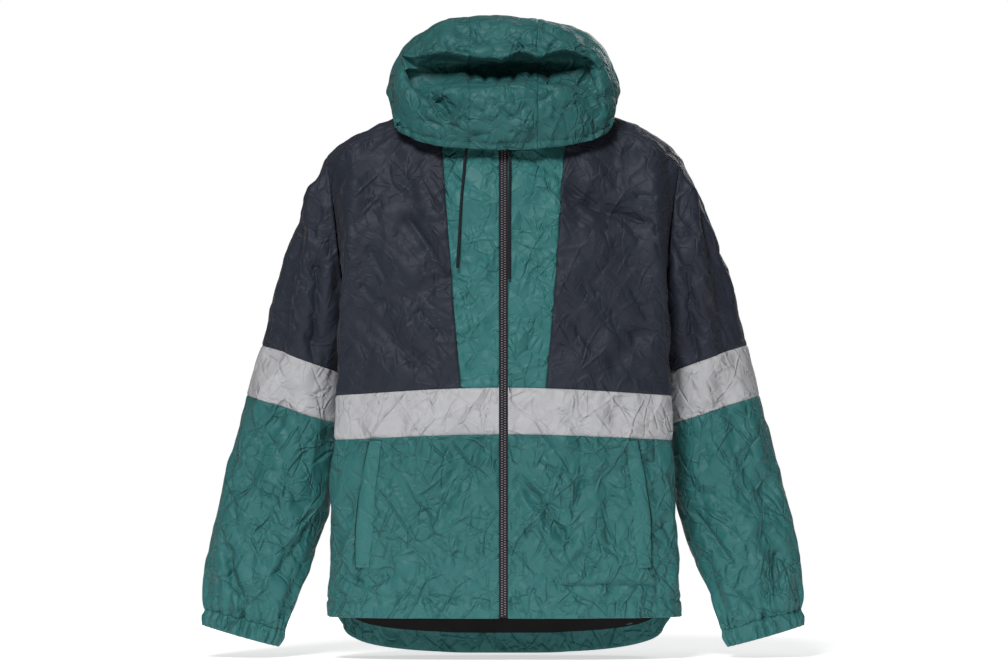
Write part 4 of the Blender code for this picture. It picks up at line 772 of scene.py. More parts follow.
def fold_relief(places, normal):
    """How far the folds and creases move each place along its normal."""
    x, z = places[..., 0] * 1000, places[..., 2] * 1000
    total = np.zeros(x.shape)
    lines = [(face, strength, *line)
             for table, strength in ((FOLDS, FOLD_DEPTH), (CREASES, CREASE_DEPTH))
             for face, rows in table.items() for line in rows]
    for face, strength, x_a, z_a, x_b, z_b, width, other, depth in lines:
        along_x, along_z = x_b - x_a, z_b - z_a
        length = math.hypot(along_x, along_z)
        share = ((x - x_a) * along_x + (z - z_a) * along_z) / length ** 2
        aside = ((x - x_a) * along_z - (z - z_a) * along_x) / length
        near = (np.abs(aside) < 4 * max(width, other)) & (share > -0.3) & (share < 1.3)
        at, q = share[near], aside[near]
        # no crease is quite straight
        q = q + 0.35 * min(width, other, 5) * np.sin(x[near] * 0.21 + z[near] * 0.17 + x_a)
        q = np.abs(q) / np.where(q > 0, width, other)
        taper = ease(at * 4 + 0.5) * ease((1 - at) * 4 + 0.5)
        toward = normal[..., 1][near] * (-1 if face == "front" else 1)
        sharp = 2.0 if min(width, other) >= 9 else 1.25
        total[near] += 0.001 * strength * depth * np.exp(-q ** sharp) * taper * ease(2 * toward)
    flat = mix(0.35, 1.0, ease((np.abs(places[..., 0]) - FLAT_START) / FLAT_FADE))
    return total * np.where((places[..., 1] < 0) & (places[..., 2] < -0.09), flat, 1.0)


def pocket_dip(places):
    """The front sinks just beyond each welt's free edge, where the pocket opens."""
    z = places[..., 2]
    levels = [row[2] for row in WELT][::-1]
    off = np.abs(places[..., 0]) - np.interp(z, levels, [row[1] for row in WELT][::-1])
    within = ease((levels[-1] + 0.004 - z) / 0.008) * ease((z - levels[0] + 0.004) / 0.008)
    puckers = (PUCKER_HEIGHT * gradient_noise(places * np.array((50.0, 40.0, 110.0)), 31)
               * np.exp(-((off + PUCKER_IN) / PUCKER_HALF) ** 2))
    dip = puckers - MOUTH_DEPTH * np.exp(-((off - MOUTH_OUT) / MOUTH_HALF) ** 2)
    return within * (places[..., 1] < 0) * dip


def relief(places, normal):
    return fold_relief(places, normal) + crinkle(places)


def seam_dip(grid, edges, stitched=0.0, sunk=1.0):
    """The cloth rounds down into each seam, and into a line of stitches this far from its low
    edge, with small puckers beside them."""
    down, over = lengths(grid, 0), lengths(grid, 1)
    far = {"low": down, "high": down[-1:] - down, "left": over, "right": over[:, -1:] - over}
    across = gradient_noise(grid * np.array((95.0, 60.0, 22.0)), 21)
    upright = gradient_noise(grid * np.array((22.0, 60.0, 95.0)), 22)
    total = np.zeros(grid.shape[:2])

    def dip(d, noise, sink, pucker, strength=1.0, fade=1.0):
        depth, half = sink
        height, distance, width = pucker
        return (height * noise * np.exp(-((d - distance) / width) ** 2) * fade
                - strength * depth * np.exp(-(d / half) ** 2))

    for edge, kind in edges.items():
        if kind == "seam":
            noise = across if edge in ("low", "high") else upright
            total += dip(far[edge], noise, SEAM_DIP, SEAM_PUCKER, sunk, ease(far[edge] / 0.003))
    if stitched:
        total += dip(down - stitched, across, STITCH_DIP, STITCH_PUCKER)
    return total


def mirrored(grid):
    """The wearer's right from the wearer's left, for points, normals or plain values."""
    turned = grid[:, ::-1].copy()
    if turned.ndim == 3:
        turned[..., 0] *= -1
    return turned


def on_side(side, *grids):
    return grids if side == "left" else [mirrored(grid) for grid in grids]


def turn_to(seam, facing, rows):
    """The first rows' normals turn towards the ones that both pieces share at their seam."""
    for k in range(rows):
        facing[k] = unit(mix(facing[k], seam, 1 - k / rows))


# ------------------------------------------------------------------ making cloth
def cut_of(surface, closed=False, turned=0.0, fullness=1.0):
    """Width, length and area of the flat cloth for this surface: turned is what folds up inside
    at its hem, and fullness how much wider the cloth is than what it is gathered into."""
    if closed:
        surface = np.concatenate([surface, surface[:, :1]], 1)
    width = float(lengths(surface, 1)[:, -1].max()) * fullness
    length = float(lengths(surface, 0)[-1].max()) + turned
    cells = np.cross(surface[1:, 1:] - surface[:-1, :-1], surface[1:, :-1] - surface[:-1, 1:])
    area = float(np.linalg.norm(cells, axis=-1).sum() / 2) * fullness
    return width, length, area + turned * float(lengths(surface, 1)[0, -1])


def turned_in(kind, rows, facing, inner, inner_facing):
    """The cloth beyond an edge: it turns in at a seam and folds back inside at a hem."""
    outward = unit(rows - inner[0])
    turned = [rows - facing * depth + outward * reach for depth, reach in TURN_IN.get(kind, ())]
    if kind == "hem":
        turned += [row - out * HEM_INSIDE for row, out in zip(inner, inner_facing)]
    return turned


def with_edges(grid, facing, first, last, hem=0):
    """The rows with what turns in at the first and the last one; hem counts the rows inside."""
    before = turned_in(first, grid[0], facing[0], grid[1:2 + hem], facing[1:2 + hem])
    beyond = turned_in(last, grid[-1], facing[-1], grid[-2:-3 - hem:-1], facing[-2:-3 - hem:-1])
    return (np.stack([*before[::-1], *grid, *beyond]),
            np.stack([*[facing[0]] * len(before), *facing, *[facing[-1]] * len(beyond)]))


def cloth_mesh(name, finish, grid, facing, edges, closed=False, hem=0):
    """A sheet from a grid of points, with its edges."""
    full, facing = with_edges(grid, facing, edges.get("low"), edges.get("high"), hem)
    if not closed:
        columns, _ = with_edges(full.swapaxes(0, 1), facing.swapaxes(0, 1),
                                edges.get("left"), edges.get("right"))
        full = columns.swapaxes(0, 1)
    return grid_object(name, finish, full, closed)


def grid_object(name, finish, grid, closed=False):
    rows, columns = grid.shape[:2]
    index = np.arange(rows * columns).reshape(rows, columns)
    if closed:
        index = np.concatenate([index, index[:, :1]], 1)
    quads = np.stack([index[:-1, :-1], index[:-1, 1:], index[1:, 1:], index[1:, :-1]], -1)
    return mesh_object(name, finish, grid.reshape(-1, 3), quads.reshape(-1, 4))


def mesh_object(name, finish, points, faces, smooth=True):
    """faces is an array with as many corners in every face."""
    mesh = bpy.data.meshes.new(name)
    mesh.vertices.add(len(points))
    mesh.vertices.foreach_set("co", np.ascontiguousarray(points, np.float32).ravel())
    mesh.loops.add(faces.size)
    mesh.loops.foreach_set("vertex_index", np.ascontiguousarray(faces, np.int32).ravel())
    mesh.polygons.add(len(faces))
    starts = np.arange(len(faces), dtype=np.int32) * faces.shape[1]
    mesh.polygons.foreach_set("loop_start", starts)
    mesh.update(calc_edges=True)
    mesh.validate()
    if smooth:
        mesh.shade_smooth()
    mesh.materials.append(finish)
    return add_object(name, mesh)


def line_at(values, distance, grid=None):
    """One row of values, where the grid's rows are that far up from its first one."""
    grid = values if grid is None else grid
    down = lengths(grid, 0)
    row = np.clip((down < distance).sum(0), 1, len(down) - 1)
    columns = np.arange(values.shape[1])
    low, high = down[row - 1, columns], down[row, columns]
    share = np.clip((distance - low) / (high - low), 0, 1)[:, None]
    return mix(values[row - 1, columns], values[row, columns], share)


# the six sides of a block; its corners run through three choices of two, the last one fastest
BLOCK = np.array([(0, 1, 3, 2), (4, 6, 7, 5), (0, 4, 5, 1),
                  (2, 3, 7, 6), (0, 2, 6, 4), (1, 5, 7, 3)])


def stitches(name, line, facing, pitch=0.0032, length=0.0021, half=0.00022):
    """A row of short threads along a line on the cloth, joined in one mesh."""
    way = lengths(line, 0)
    count = int((way[-1] - 0.004) / pitch)
    starts = 0.002 + pitch * np.arange(count)
    ends = [places_along(line, way, starts + end) for end in (0.0, length)]
    out = unit(places_along(facing, way, starts + length / 2))
    side = unit(np.cross(ends[1] - ends[0], out)) * half
    corners = [end + out * lift + side * way_out
               for end in ends for way_out in (-1, 1) for lift in (-0.0003, 0.00035)]
    faces = (BLOCK[None] + 8 * np.arange(count)[:, None, None]).reshape(-1, 4)
    wear(mesh_object(name, THREAD_GREEN, np.stack(corners, 1).reshape(-1, 3), faces))


def hem_stitches(name, shown, facing, distance, reach=slice(None)):
    """Stitches at this distance from the low edge."""
    stitches(name, line_at(shown, distance)[reach], line_at(facing, distance, shown)[reach])


# ------------------------------------------------------------------ finishes
class Value:
    """A shader socket that takes part in sums."""

    def __init__(self, paint, socket):
        self.paint, self.socket = paint, socket

    def maths(self, operation, first, second):
        return self.paint.node("ShaderNodeMath", {"operation": operation}, {0: first, 1: second})

    def __add__(self, other):
        return self.maths("ADD", self, other)

    def __radd__(self, other):
        return self.maths("ADD", other, self)

    def __sub__(self, other):
        return self.maths("SUBTRACT", self, other)

    def __rsub__(self, other):
        return self.maths("SUBTRACT", other, self)

    def __mul__(self, other):
        return self.maths("MULTIPLY", self, other)

    def __rmul__(self, other):
        return self.maths("MULTIPLY", other, self)


class Paint:
    """A material and its nodes."""

    def __init__(self, name, **fixed):
        self.material = bpy.data.materials.new(name)
        self.material.use_nodes = True
        self.tree = self.material.node_tree
        self.shader = self.tree.nodes["Principled BSDF"]
        for socket, value in fixed.items():
            self.shader.inputs[socket.replace("_", " ")].default_value = value

    def node(self, kind, settings, sockets, output=0):
        made = self.tree.nodes.new(kind)
        for setting, value in settings.items():
            setattr(made, setting, value)
        for socket, value in sockets.items():
            self.put(made.inputs[socket], value)
        return Value(self, made.outputs[output])

    def put(self, socket, value):
        if isinstance(value, Value):
            self.tree.links.new(value.socket, socket)
        else:
            socket.default_value = value

    def give(self, socket, value):
        self.put(self.shader.inputs[socket], value)

    def places(self):
        return self.node("ShaderNodeTexCoord", {}, {}, "Object")

    def noise(self, places, scale, detail=2.0, roughness=0.5, output=0):
        sockets = {"Vector": places, "Scale": scale, "Detail": detail, "Roughness": roughness}
        return self.node("ShaderNodeTexNoise", {}, sockets, output)

    def blend(self, share, colour, other):
        return self.node("ShaderNodeMix", {"data_type": "RGBA"},
                         {0: share, 6: (*colour, 1.0), 7: (*other, 1.0)}, 2)

    def smooth_step(self, value, low, high, start=0.0, end=1.0):
        return self.node("ShaderNodeMapRange", {"interpolation_type": "SMOOTHSTEP"},
                         {"Value": value, "From Min": low, "From Max": high,
                          "To Min": start, "To Max": end})

    def cells(self, places, cell, stretch, lean, feature):
        """Distance in cells that are longer along the lean than across."""
        turned = self.node("ShaderNodeMapping", {"vector_type": "TEXTURE"},
                           {"Vector": places, "Rotation": (0.0, math.radians(lean), 0.0),
                            "Scale": (cell, cell, cell * stretch)})
        return self.node("ShaderNodeTexVoronoi", {"feature": feature},
                         {"Vector": turned, "Scale": 1.0, "Randomness": 1.0}, "Distance")

    def bowls(self, places, cell, stretch, lean):
        """Shallow bowls that meet in straight edges, in metres."""
        edge = self.cells(places, cell, stretch, lean, "F1")
        return edge * edge * cell

    def creases(self, places, cell, stretch, lean, half):
        """Thin straight creases with flat cloth between them: 1 on a crease and 0 off it."""
        off = self.cells(places, cell, stretch, lean, "DISTANCE_TO_EDGE")
        line = self.smooth_step(off * cell, 0.0, half, 1.0, 0.0)
        return line * self.smooth_step(self.noise(places, 0.55 / cell, 1.0), 0.46, 0.62)

    def raise_by(self, height, distance, strength=1.0):
        self.give("Normal", self.node("ShaderNodeBump", {}, {"Height": height, "Distance": distance,
                                                             "Strength": strength}))


# creases of crushed nylon: height, cell, how long, lean in degrees, half width
NYLON_CREASES = (
    (0.0019, 0.038, 2.6, 34.0, 0.0030), (-0.0018, 0.033, 2.8, -38.0, 0.0028),
    (0.0012, 0.021, 2.4, -66.0, 0.0021), (-0.0011, 0.018, 2.2, 8.0, 0.0019),
    (-0.0006, 0.013, 2.2, 60.0, 0.0015),
)


def nylon(name, colour, deep, rough=0.54, gloss=0.26, crush=1.0):
    """Thin satin nylon that has been crushed: sharp straight creases, nearly flat cloth between."""
    paint = Paint(name, Specular_IOR_Level=gloss, Sheen_Weight=0.04, Sheen_Roughness=0.4)
    places = paint.places()
    cloud = paint.noise(places, 9.0, 3.0, 0.6)
    small = paint.noise(places, 70.0, 3.0, 0.6)
    share = 0.35 + 0.8 * (cloud - 0.5) + 0.4 * (small - 0.5)
    paint.give("Base Color", paint.blend(share, colour, deep))
    paint.give("Roughness", rough + 0.16 * (small - 0.5))
    bent = paint.node("ShaderNodeVectorMath", {"operation": "MULTIPLY_ADD"},
                      {0: paint.noise(places, 14.0, output=1), 1: (0.016,) * 3, 2: places})
    height = (0.20 * paint.bowls(bent, 0.030, 2.3, 38.0)
              - 0.18 * paint.bowls(bent, 0.022, 2.0, -34.0))
    for rise, *crease in NYLON_CREASES:
        height = height + rise * paint.creases(bent, *crease)
    grain = paint.noise(places, 1400.0, 1.0)
    paint.raise_by(crush * height + grain * 0.00008, 1.0)
    return paint.material


def textile(name, colour, rough, pattern, settings, sockets, depth, strength):
    """A dull dark textile with one pattern of relief."""
    paint = Paint(name, Base_Color=(*colour, 1.0), Roughness=rough, Specular_IOR_Level=0.25)
    height = paint.node(pattern, settings, {"Vector": paint.places(), **sockets})
    paint.raise_by(height, depth, strength)
    return paint.material


def moulded(name, colour, rough, metallic=0.0):
    paint = Paint(name, Base_Color=(*colour, 1.0), Metallic=metallic)
    marks = paint.noise(paint.places(), 400.0, 3.0)
    paint.give("Roughness", rough + 0.2 * (marks - 0.5))
    return paint.material


GREEN = nylon("teal_nylon", (0.026, 0.133, 0.132), (0.018, 0.104, 0.104), crush=1.4)
# the centre strips' teal is a lighter copy of the teal cloth: painted light
TEAL_CENTRE_PAINTED_LIGHT = nylon("teal_nylon_centre_painted_light", (0.031, 0.156, 0.155), (0.022, 0.124, 0.124), crush=1.25)
# the hood's teal is a darker copy of the teal cloth: painted shade
TEAL_HOOD_PAINTED_SHADE = nylon("teal_nylon_hood_painted_shade", (0.0235, 0.119, 0.118), (0.016, 0.092, 0.092), crush=1.2)
NAVY = nylon("dark_blue_nylon", (0.0225, 0.0275, 0.041), (0.014, 0.017, 0.026), 0.58, 0.20, 0.62)
# the welts' cloth is pressed flatter, and painted a little lighter than the teal cloth: painted
# light
PRESSED_PAINTED_LIGHT = nylon("teal_nylon_pressed_painted_light", (0.029, 0.143, 0.141), (0.022, 0.118, 0.117), crush=0.55)
GREY = nylon("light_grey_nylon", (0.430, 0.430, 0.447), (0.370, 0.370, 0.386))
LINING = textile("black_lining", (0.007, 0.006, 0.006), 0.8, "ShaderNodeTexNoise", {},
                 {"Scale": 60.0, "Detail": 3.0, "Roughness": 0.5, "Distortion": 1.0}, 0.001, 0.5)
TAPE = textile("zip_tape", (0.014, 0.013, 0.016), 0.8, "ShaderNodeTexWave",
               {"bands_direction": "Z"}, {"Scale": 260.0}, 0.0002, 0.5)
BRAID = textile("braided_cord", (0.008, 0.010, 0.014), 0.75, "ShaderNodeTexWave",
                {"bands_direction": "DIAGONAL"}, {"Scale": 190.0, "Distortion": 0.6}, 0.0005, 0.7)
# the dark teeth are painted pale grey: painted highlights
TEETH_PAINTED_GLINT = moulded("zip_teeth_painted_glint", (0.180, 0.155, 0.180), 0.35)
METAL = moulded("slider_enamel", (0.040, 0.038, 0.042), 0.32, 0.6)
THREAD_GREEN = moulded("teal_thread", (0.045, 0.165, 0.158), 0.6)


def wear(piece, *nodes, body="jacket"):
    """The piece moves with the body and stands for the given nodes."""
    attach(piece, body)
    if nodes:
        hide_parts(*nodes)
    return piece


def hang(made, node, cut, held="hung", others=()):
    """A piece of cloth that is worn; its flat cut is not used."""
    wear(made, node)


def add_object(name, data):
    made = bpy.data.objects.new(name, data)
    bpy.context.scene.collection.objects.link(made)
    return made


# ------------------------------------------------------------------ camera and cords
def set_camera():
    data = bpy.data.cameras.new("camera")
    data.sensor_width = 36.0
    data.lens = data.sensor_width * CAMERA_AWAY / VIEW_WIDTH
    data.clip_end = 60.0
    camera = add_object("camera", data)
    camera.location = (0.0007, -CAMERA_AWAY, -0.340)
    camera.rotation_euler = (math.radians(90), 0.0, 0.0)
    bpy.context.scene.camera = camera


def drawcord(name, points, node):
    points = np.array(points)
    way = lengths(points, 0)
    at = np.linspace(0.0, way[-1], 60)
    smooth = through(way, points, at)
    curve = bpy.data.curves.new(name, "CURVE")
    curve.dimensions = "3D"
    curve.bevel_depth = CORD
    curve.bevel_resolution = 5
    curve.use_fill_caps = True
    line = curve.splines.new("POLY")
    line.points.add(len(smooth) - 1)
    for stop, place, here in zip(line.points, smooth, at):
        stop.co = (*place, 1.0)
        stop.radius = 1.15 if way[-1] - here < CORD_TIP else 1.0
    line.use_smooth = True
    curve.materials.append(BRAID)
    made = wear(add_object(name, curve), node)


# ------------------------------------------------------------------ fronts and backs
def stretch(start, end, count):
    return start + (end - start) * np.arange(count) / count


def body_grids():
    lower = stretch(HEM, BAND_BOTTOM, ROWS["lower"])
    upper = np.concatenate([stretch(BAND_BOTTOM, BAND_TOP, ROWS["band"]),
                            stretch(BAND_TOP, CHEST, ROWS["chest"]),
                            stretch(CHEST, CHEST + 1, ROWS["armhole"]), [CHEST + 1]])
    side = np.append(stretch(1.0, 2.0, SIDE_COLUMNS), 2.0)
    across, height = np.meshgrid(np.concatenate([stretch(0.0, 1.0, STRIP_COLUMNS), side]),
                                 np.concatenate([lower, upper]))
    fronts = front(across, height)
    columns = np.concatenate([stretch(0.0, 1.0, NECK_COLUMNS), side])
    low = mix(tail_hem(columns), BAND_BOTTOM, stretch(0.0, 1.0, ROWS["lower"])[:, None])
    heights = np.concatenate([low, np.repeat(upper[:, None], len(columns), 1)])
    backs = back(np.broadcast_to(columns, heights.shape), heights)
    return fronts, normals(fronts), backs, -normals(backs)


def armhole_fade(grid, armhole_rows):
    """The relief fades out towards the armhole, where three pieces meet at an angle."""
    over = lengths(grid, 1)
    fade = ease((over[:, -1:] - over) / ARMHOLE_FADE)
    rows = np.zeros(len(grid))
    rows[-armhole_rows:] = 1.0
    rows[-armhole_rows - FADE_ROWS:-armhole_rows] = np.linspace(0.0, 1.0, FADE_ROWS)
    return mix(1.0, fade, rows[:, None])


def panel(name, finish, surface, edges, casing=0.0, hem=0, stitched=0.0, side=""):
    """One panel of the body: surface gives its points, normals and how far the relief moves them;
    casing is what turns up at its hem, in so many rows."""
    grid, normal, moved = surface
    moved = moved + seam_dip(grid, edges, stitched)
    if name == "lower_front":
        moved = moved + pocket_dip(grid)
    shown = grid + normal * moved[..., None]
    made = cloth_mesh(name + side, finish, shown, normal, edges, hem=hem)
    if stitched:
        hem_stitches(f"{name}_stitches{side}", shown, normal, stitched)
    hang(made, NODE[name] + side, cut_of(grid, turned=casing))


def build_body():
    fronts, front_normal, backs, back_normal = body_grids()
    first_band, first_chest = ROWS["lower"], ROWS["lower"] + ROWS["band"]
    seam = unit(front_normal[:, -1] + back_normal[:, -1])
    for facing in (front_normal, back_normal):
        turn_to(seam, facing.swapaxes(0, 1)[::-1], BODY_BLEND)
    over_shoulder = front_normal[::-1, STRIP_COLUMNS:], back_normal[::-1, NECK_COLUMNS:]
    seam = unit(over_shoulder[0][0] + over_shoulder[1][0])
    for facing in over_shoulder:
        turn_to(seam, facing, BODY_BLEND)
    down = lengths(fronts, 0)
    neck_fade = ease((down[-1:] - down) / 0.02)
    neck_fade[:, STRIP_COLUMNS:] = 1.0
    zip_fade = ease(lengths(fronts, 1) / 0.012 + 0.15)
    front_fade = armhole_fade(fronts, ROWS["armhole"] + 1) * neck_fade * zip_fade

    strip_end, width = STRIP_COLUMNS + 1, STRIP_COLUMNS + SIDE_COLUMNS + 1
    lower, band = slice(0, first_band + 1), slice(first_band, first_chest + 1)
    chest = slice(first_chest, None)
    at_zip = {"left": "edge"}
    front_panels = (
        ("centre_strip", TEAL_CENTRE_PAINTED_LIGHT, chest, (0, strip_end), at_zip, {}),
        ("chest_panel", NAVY, chest, (strip_end - 1, width), {}, {}),
        ("front_stripe", GREY, band, (0, width), at_zip, {}),
        ("lower_front", GREEN, lower, (0, width), {"low": "hem", **at_zip},
         {"casing": HEM_CASING, "hem": HEM_ROWS, "stitched": HEM_CASING - STITCH_INSET}),
    )
    for side in ("left", "right"):
        grid, normal, fade = on_side(side, fronts, front_normal, front_fade)
        surface = grid, normal, relief(grid, normal) * fade
        for name, finish, rows, (start, stop), open_edges, sewing in front_panels:
            edges = {**SEAMS, **open_edges}
            columns = slice(start, stop)
            if side == "right":
                columns = slice(width - stop, width - start)
                edges["left"], edges["right"] = edges["right"], edges["left"]
            panel(name, finish, [part[rows, columns] for part in surface], edges,
                  side="_" + side, **sewing)

    # the back, from the wearer's left side seam to the right one
    back_fade = armhole_fade(backs, ROWS["armhole"] + 1)
    grid, normal, fade = (np.concatenate([part[:, ::-1], mirrored(part[:, ::-1])[:, 1:]], 1)
                          for part in (backs, back_normal, back_fade))
    surface = grid, normal, relief(grid, normal) * fade
    panel("back_yoke", NAVY, [part[chest] for part in surface], SEAMS)
    panel("back_stripe", GREY, [part[band] for part in surface], SEAMS)
    panel("lower_back", GREEN, [part[lower] for part in surface], {**SEAMS, "low": "hem"},
          TAIL_CASING, TAIL_ROWS, TAIL_CASING - TAIL_STITCH_INSET)

    # the lining hangs just inside the back
    shown = slice(9, first_chest + 30, 3), slice(26, -26, 3)
    grid, normal, moved = (part[shown] for part in surface)
    lining = grid + normal * (moved * 0.8 - WALL - LINING_DEPTH)[..., None]
    hang(grid_object("lining_cloth", LINING, lining), "back_lining", cut_of(lining))


# ------------------------------------------------------------------ sleeves
def gathers(turn):
    """Uneven gathers round a cuff: round crests with narrow troughs, from -1 to 0.4."""
    place = GATHERS * turn + 1.3 * np.sin(3 * turn) + 0.8 * np.sin(7 * turn + 1.0)
    depth = 0.7 + 0.3 * np.sin(5 * turn + 0.7)
    return 0.4 - 1.4 * depth * (0.5 + 0.5 * np.cos(place)) ** 3


def build_sleeves():
    loop, turn = armhole_loop(SLEEVE_COLUMNS)
    starts = np.cumsum([0] + [SLEEVE_ROWS[name] for name in ("upper", "band", "lower")])
    downs = np.concatenate([stretch(0.0, BAND_START, SLEEVE_ROWS["upper"]),
                            stretch(BAND_START, BAND_END, SLEEVE_ROWS["band"]),
                            stretch(BAND_END, SLEEVE_END, SLEEVE_ROWS["lower"]), [SLEEVE_END]])
    turns, down = np.meshgrid(turn, downs)
    grid = sleeve(np.broadcast_to(loop, down.shape + (3,)), turns, down)
    normal = normals(grid, closed=True)
    # the cuff carries on from the sleeve's last ring
    y, share = SLEEVE[-1][5], 0.5 * (1 + np.cos(turn))
    inner_x, inner_z, outer_x, outer_z = CUFF_END
    end = point(mix(inner_x, outer_x, share), y - CUFF_DEPTH * np.sin(turn),
                mix(inner_z, outer_z, share))
    k = np.linspace(0.0, 1.0, SLEEVE_ROWS["cuff"] + 1)[:, None]
    cuff = mix(grid[-1], end, k[..., None])
    cuff_normal = normals(cuff, closed=True)

    for side in ("left", "right"):
        g, n, c, cn, t = on_side(side, grid, normal, cuff, cuff_normal, turns)
        fade = ease(down / 0.03) * (1 - 0.6 * ease((down - 0.60) / 0.05))
        tuck = GATHER_DEPTH * ease((down - GATHER_START) / 0.05) * gathers(t)
        long_tuck = (LONG_TUCK * ease((down - LONG_TUCK_START) / 0.10)
                     * (np.sin(7 * t + 2.0 * np.sin(2 * t + 0.6)) - 0.9)
                     * (0.6 + 0.4 * np.sin(3 * t + 0.4)))
        moved = relief(g, n) * fade + tuck + long_tuck * (1 - 0.7 * ease((down - 0.635) / 0.03))
        edges = {"low": "seam", "high": "seam"}
        for i, (name, finish, sunk) in enumerate((("upper", NAVY, 1.0), ("band", GREY, 1.0),
                                                  ("lower", GREEN, 0.4))):
            rows = slice(starts[i], starts[i + 1] + 1)
            shape = moved[rows] + seam_dip(g[rows], edges, sunk=sunk)
            made = cloth_mesh(f"sleeve_cloth_{name}_{side}", finish,
                              g[rows] + n[rows] * shape[..., None], n[rows], edges, True)
            hang(made, f"sleeve_{name}_{side}", cut_of(g[rows], True))
        t = t[:1]
        small = np.sin(31 * t + 2.2 * np.sin(4 * t) + 0.5)
        gathered = GATHER_DEPTH * (1.7 * gathers(t) + 0.6 * small * (1 - k))
        ring = mix(moved[-1:], gathered, ease(2 * k))
        ring = ring + 0.0012 * np.sin(math.pi * k) + 0.3 * ease(2 * k) * crinkle(c)
        cn = unit(mix(n[-1:], cn, ease(2 * k)[..., None]))
        made = cloth_mesh(f"cuff_cloth_{side}", GREEN, c + cn * ring[..., None], cn,
                          {"low": "seam", "high": "hem"}, True, hem=CUFF_ROWS)
        hang(made, f"cuff_{side}", cut_of(c, True, CUFF_HEM, CUFF_FULLNESS), "gathered")


# ------------------------------------------------------------------ hood
def build_hood():
    ways = np.linspace(0.0, 1.0, HOOD_ROWS)
    centre = hood_centre(*np.meshgrid(np.linspace(-1.0, 1.0, HOOD_COLUMNS["centre"] + 1), ways))
    across = np.linspace(0.0, 1.0, HOOD_COLUMNS["side"] + 1)
    side_grid = hood_side(*np.meshgrid(across, ways))
    centre_normal, side_normal = normals(centre), normals(side_grid)
    seam = unit(side_normal[:, 0] + centre_normal[:, -1])
    turn_to(seam, side_normal.swapaxes(0, 1), HOOD_BLEND)
    turn_to(seam, centre_normal.swapaxes(0, 1)[::-1], HOOD_BLEND)
    turn_to(seam * np.array((-1.0, 1.0, 1.0)), centre_normal.swapaxes(0, 1), HOOD_BLEND)
    end_fade = ease((1 - ways) / 0.05)[:, None]
    collar_fade = np.broadcast_to(ease((1 - across) / 0.22), side_grid.shape[:2])
    edges = {**SEAMS, "low": "hem"}
    for name, thread, node, sewn, grid, normal, fade in (
            ("hood_crown", "hood_crown_stitches", "hood_centre", slice(None),
             centre, centre_normal, 1.0),
            ("hood_panel_left", "hood_panel_stitches_left", "hood_side_left", slice(0, 74),
             side_grid, side_normal, collar_fade),
            ("hood_panel_right", "hood_panel_stitches_right", "hood_side_right", slice(-74, None),
             *on_side("right", side_grid, side_normal, collar_fade))):
        moved = relief(grid, normal) * end_fade * fade + seam_dip(grid, edges, BRIM_CHANNEL, 0.4)
        shown = grid + normal * moved[..., None]
        hem_stitches(thread, shown, normal, BRIM_CHANNEL, sewn)
        made = cloth_mesh(name, TEAL_HOOD_PAINTED_SHADE, shown, normal, edges, hem=BRIM_ROWS)
        hang(made, node, cut_of(grid))
    return side_grid, side_normal


# ------------------------------------------------------------------ welts and zip
def front_point(x, z):
    around = np.linspace(0.0, 0.8, 161)
    level = z
    for _ in range(3):
        ring = torso(around, np.full_like(around, level))
        y, at_z = (np.interp(x, ring[:, 0], ring[:, axis]) for axis in (1, 2))
        level += z - at_z
    return np.array((x, y, at_z))


def build_welts():
    downs = np.linspace(0.0, 1.0, WELT_ROWS)[::-1]
    outer_x, outer_z, inner_x, inner_z = (column(WELT, place, downs) for place in (1, 2, 3, 4))
    shares = np.linspace(0.0, 1.0, WELT_COLUMNS)
    grid = np.array([[front_point(mix(inner_x[row], outer_x[row], share),
                                  mix(inner_z[row], outer_z[row], share))
                      for share in shares] for row in range(len(downs))])
    normal = normals(grid)
    stand_off = WELT_LIFT + WELT_RISE * ease(shares * 1.2)[None, :]
    for side in ("left", "right"):
        g, n, lift = on_side(side, grid, normal, stand_off)
        moved = fold_relief(g, n) + 0.5 * crinkle(g) + lift
        made = cloth_mesh(f"welt_cloth_{side}", PRESSED_PAINTED_LIGHT, g + n * moved[..., None], n,
                          dict.fromkeys(SEAMS, "edge"))
        # the pocket's opening shows as a strip of black lining beyond the welt's free edge, painted
        # shade
        free_edge, outward = (-1, 1.0) if side == "left" else (0, -1.0)
        free, facing = g[:, free_edge], n[:, free_edge]
        rise = relief(free[None], facing[None])[0][:, None]
        columns = [free + np.array((outward * away, 0.0, 0.0)) + facing * (rise + up)
                   for away, up in POCKET_SHADE_STRIP[::int(outward)]]
        mouth = wear(grid_object(f"pocket_shade_strip_{side}", LINING, np.stack(columns, 1)))
        hang(made, f"pocket_welt_{side}", cut_of(g), "laid", [mouth])
        for row in (2, -9):
            edge = g[row] + n[row] * (moved[row] + 0.0003)[:, None]
            stitches(f"pocket_bartack_{side}_{abs(row)}", edge, n[row], 0.0011, 0.0010, 0.0004)


def zip_line(hood, hood_normal):
    heights = np.concatenate([np.linspace(HEM, CHEST, 150),
                              CHEST + np.linspace(0.01, 1.0, 80)])
    zero = np.zeros_like(heights)
    edge = front(zero, heights)
    down = np.gradient(edge[:, 1:], axis=0)
    facing = unit(np.stack([-down[:, 1], down[:, 0]], -1))
    facing *= np.where(facing[:, :1] < 0, 1, -1)
    count = int(HOOD_COLUMNS["side"] / 6)
    collar = hood[0, -2:-2 - count:-1]
    collar_normal = unit(hood_normal[0, -2:-2 - count:-1, 1:])
    line = np.concatenate([edge[:, 1:], collar[:, 1:] - collar_normal * COLLAR_INSET])
    facing = np.concatenate([facing, collar_normal])
    return line, facing


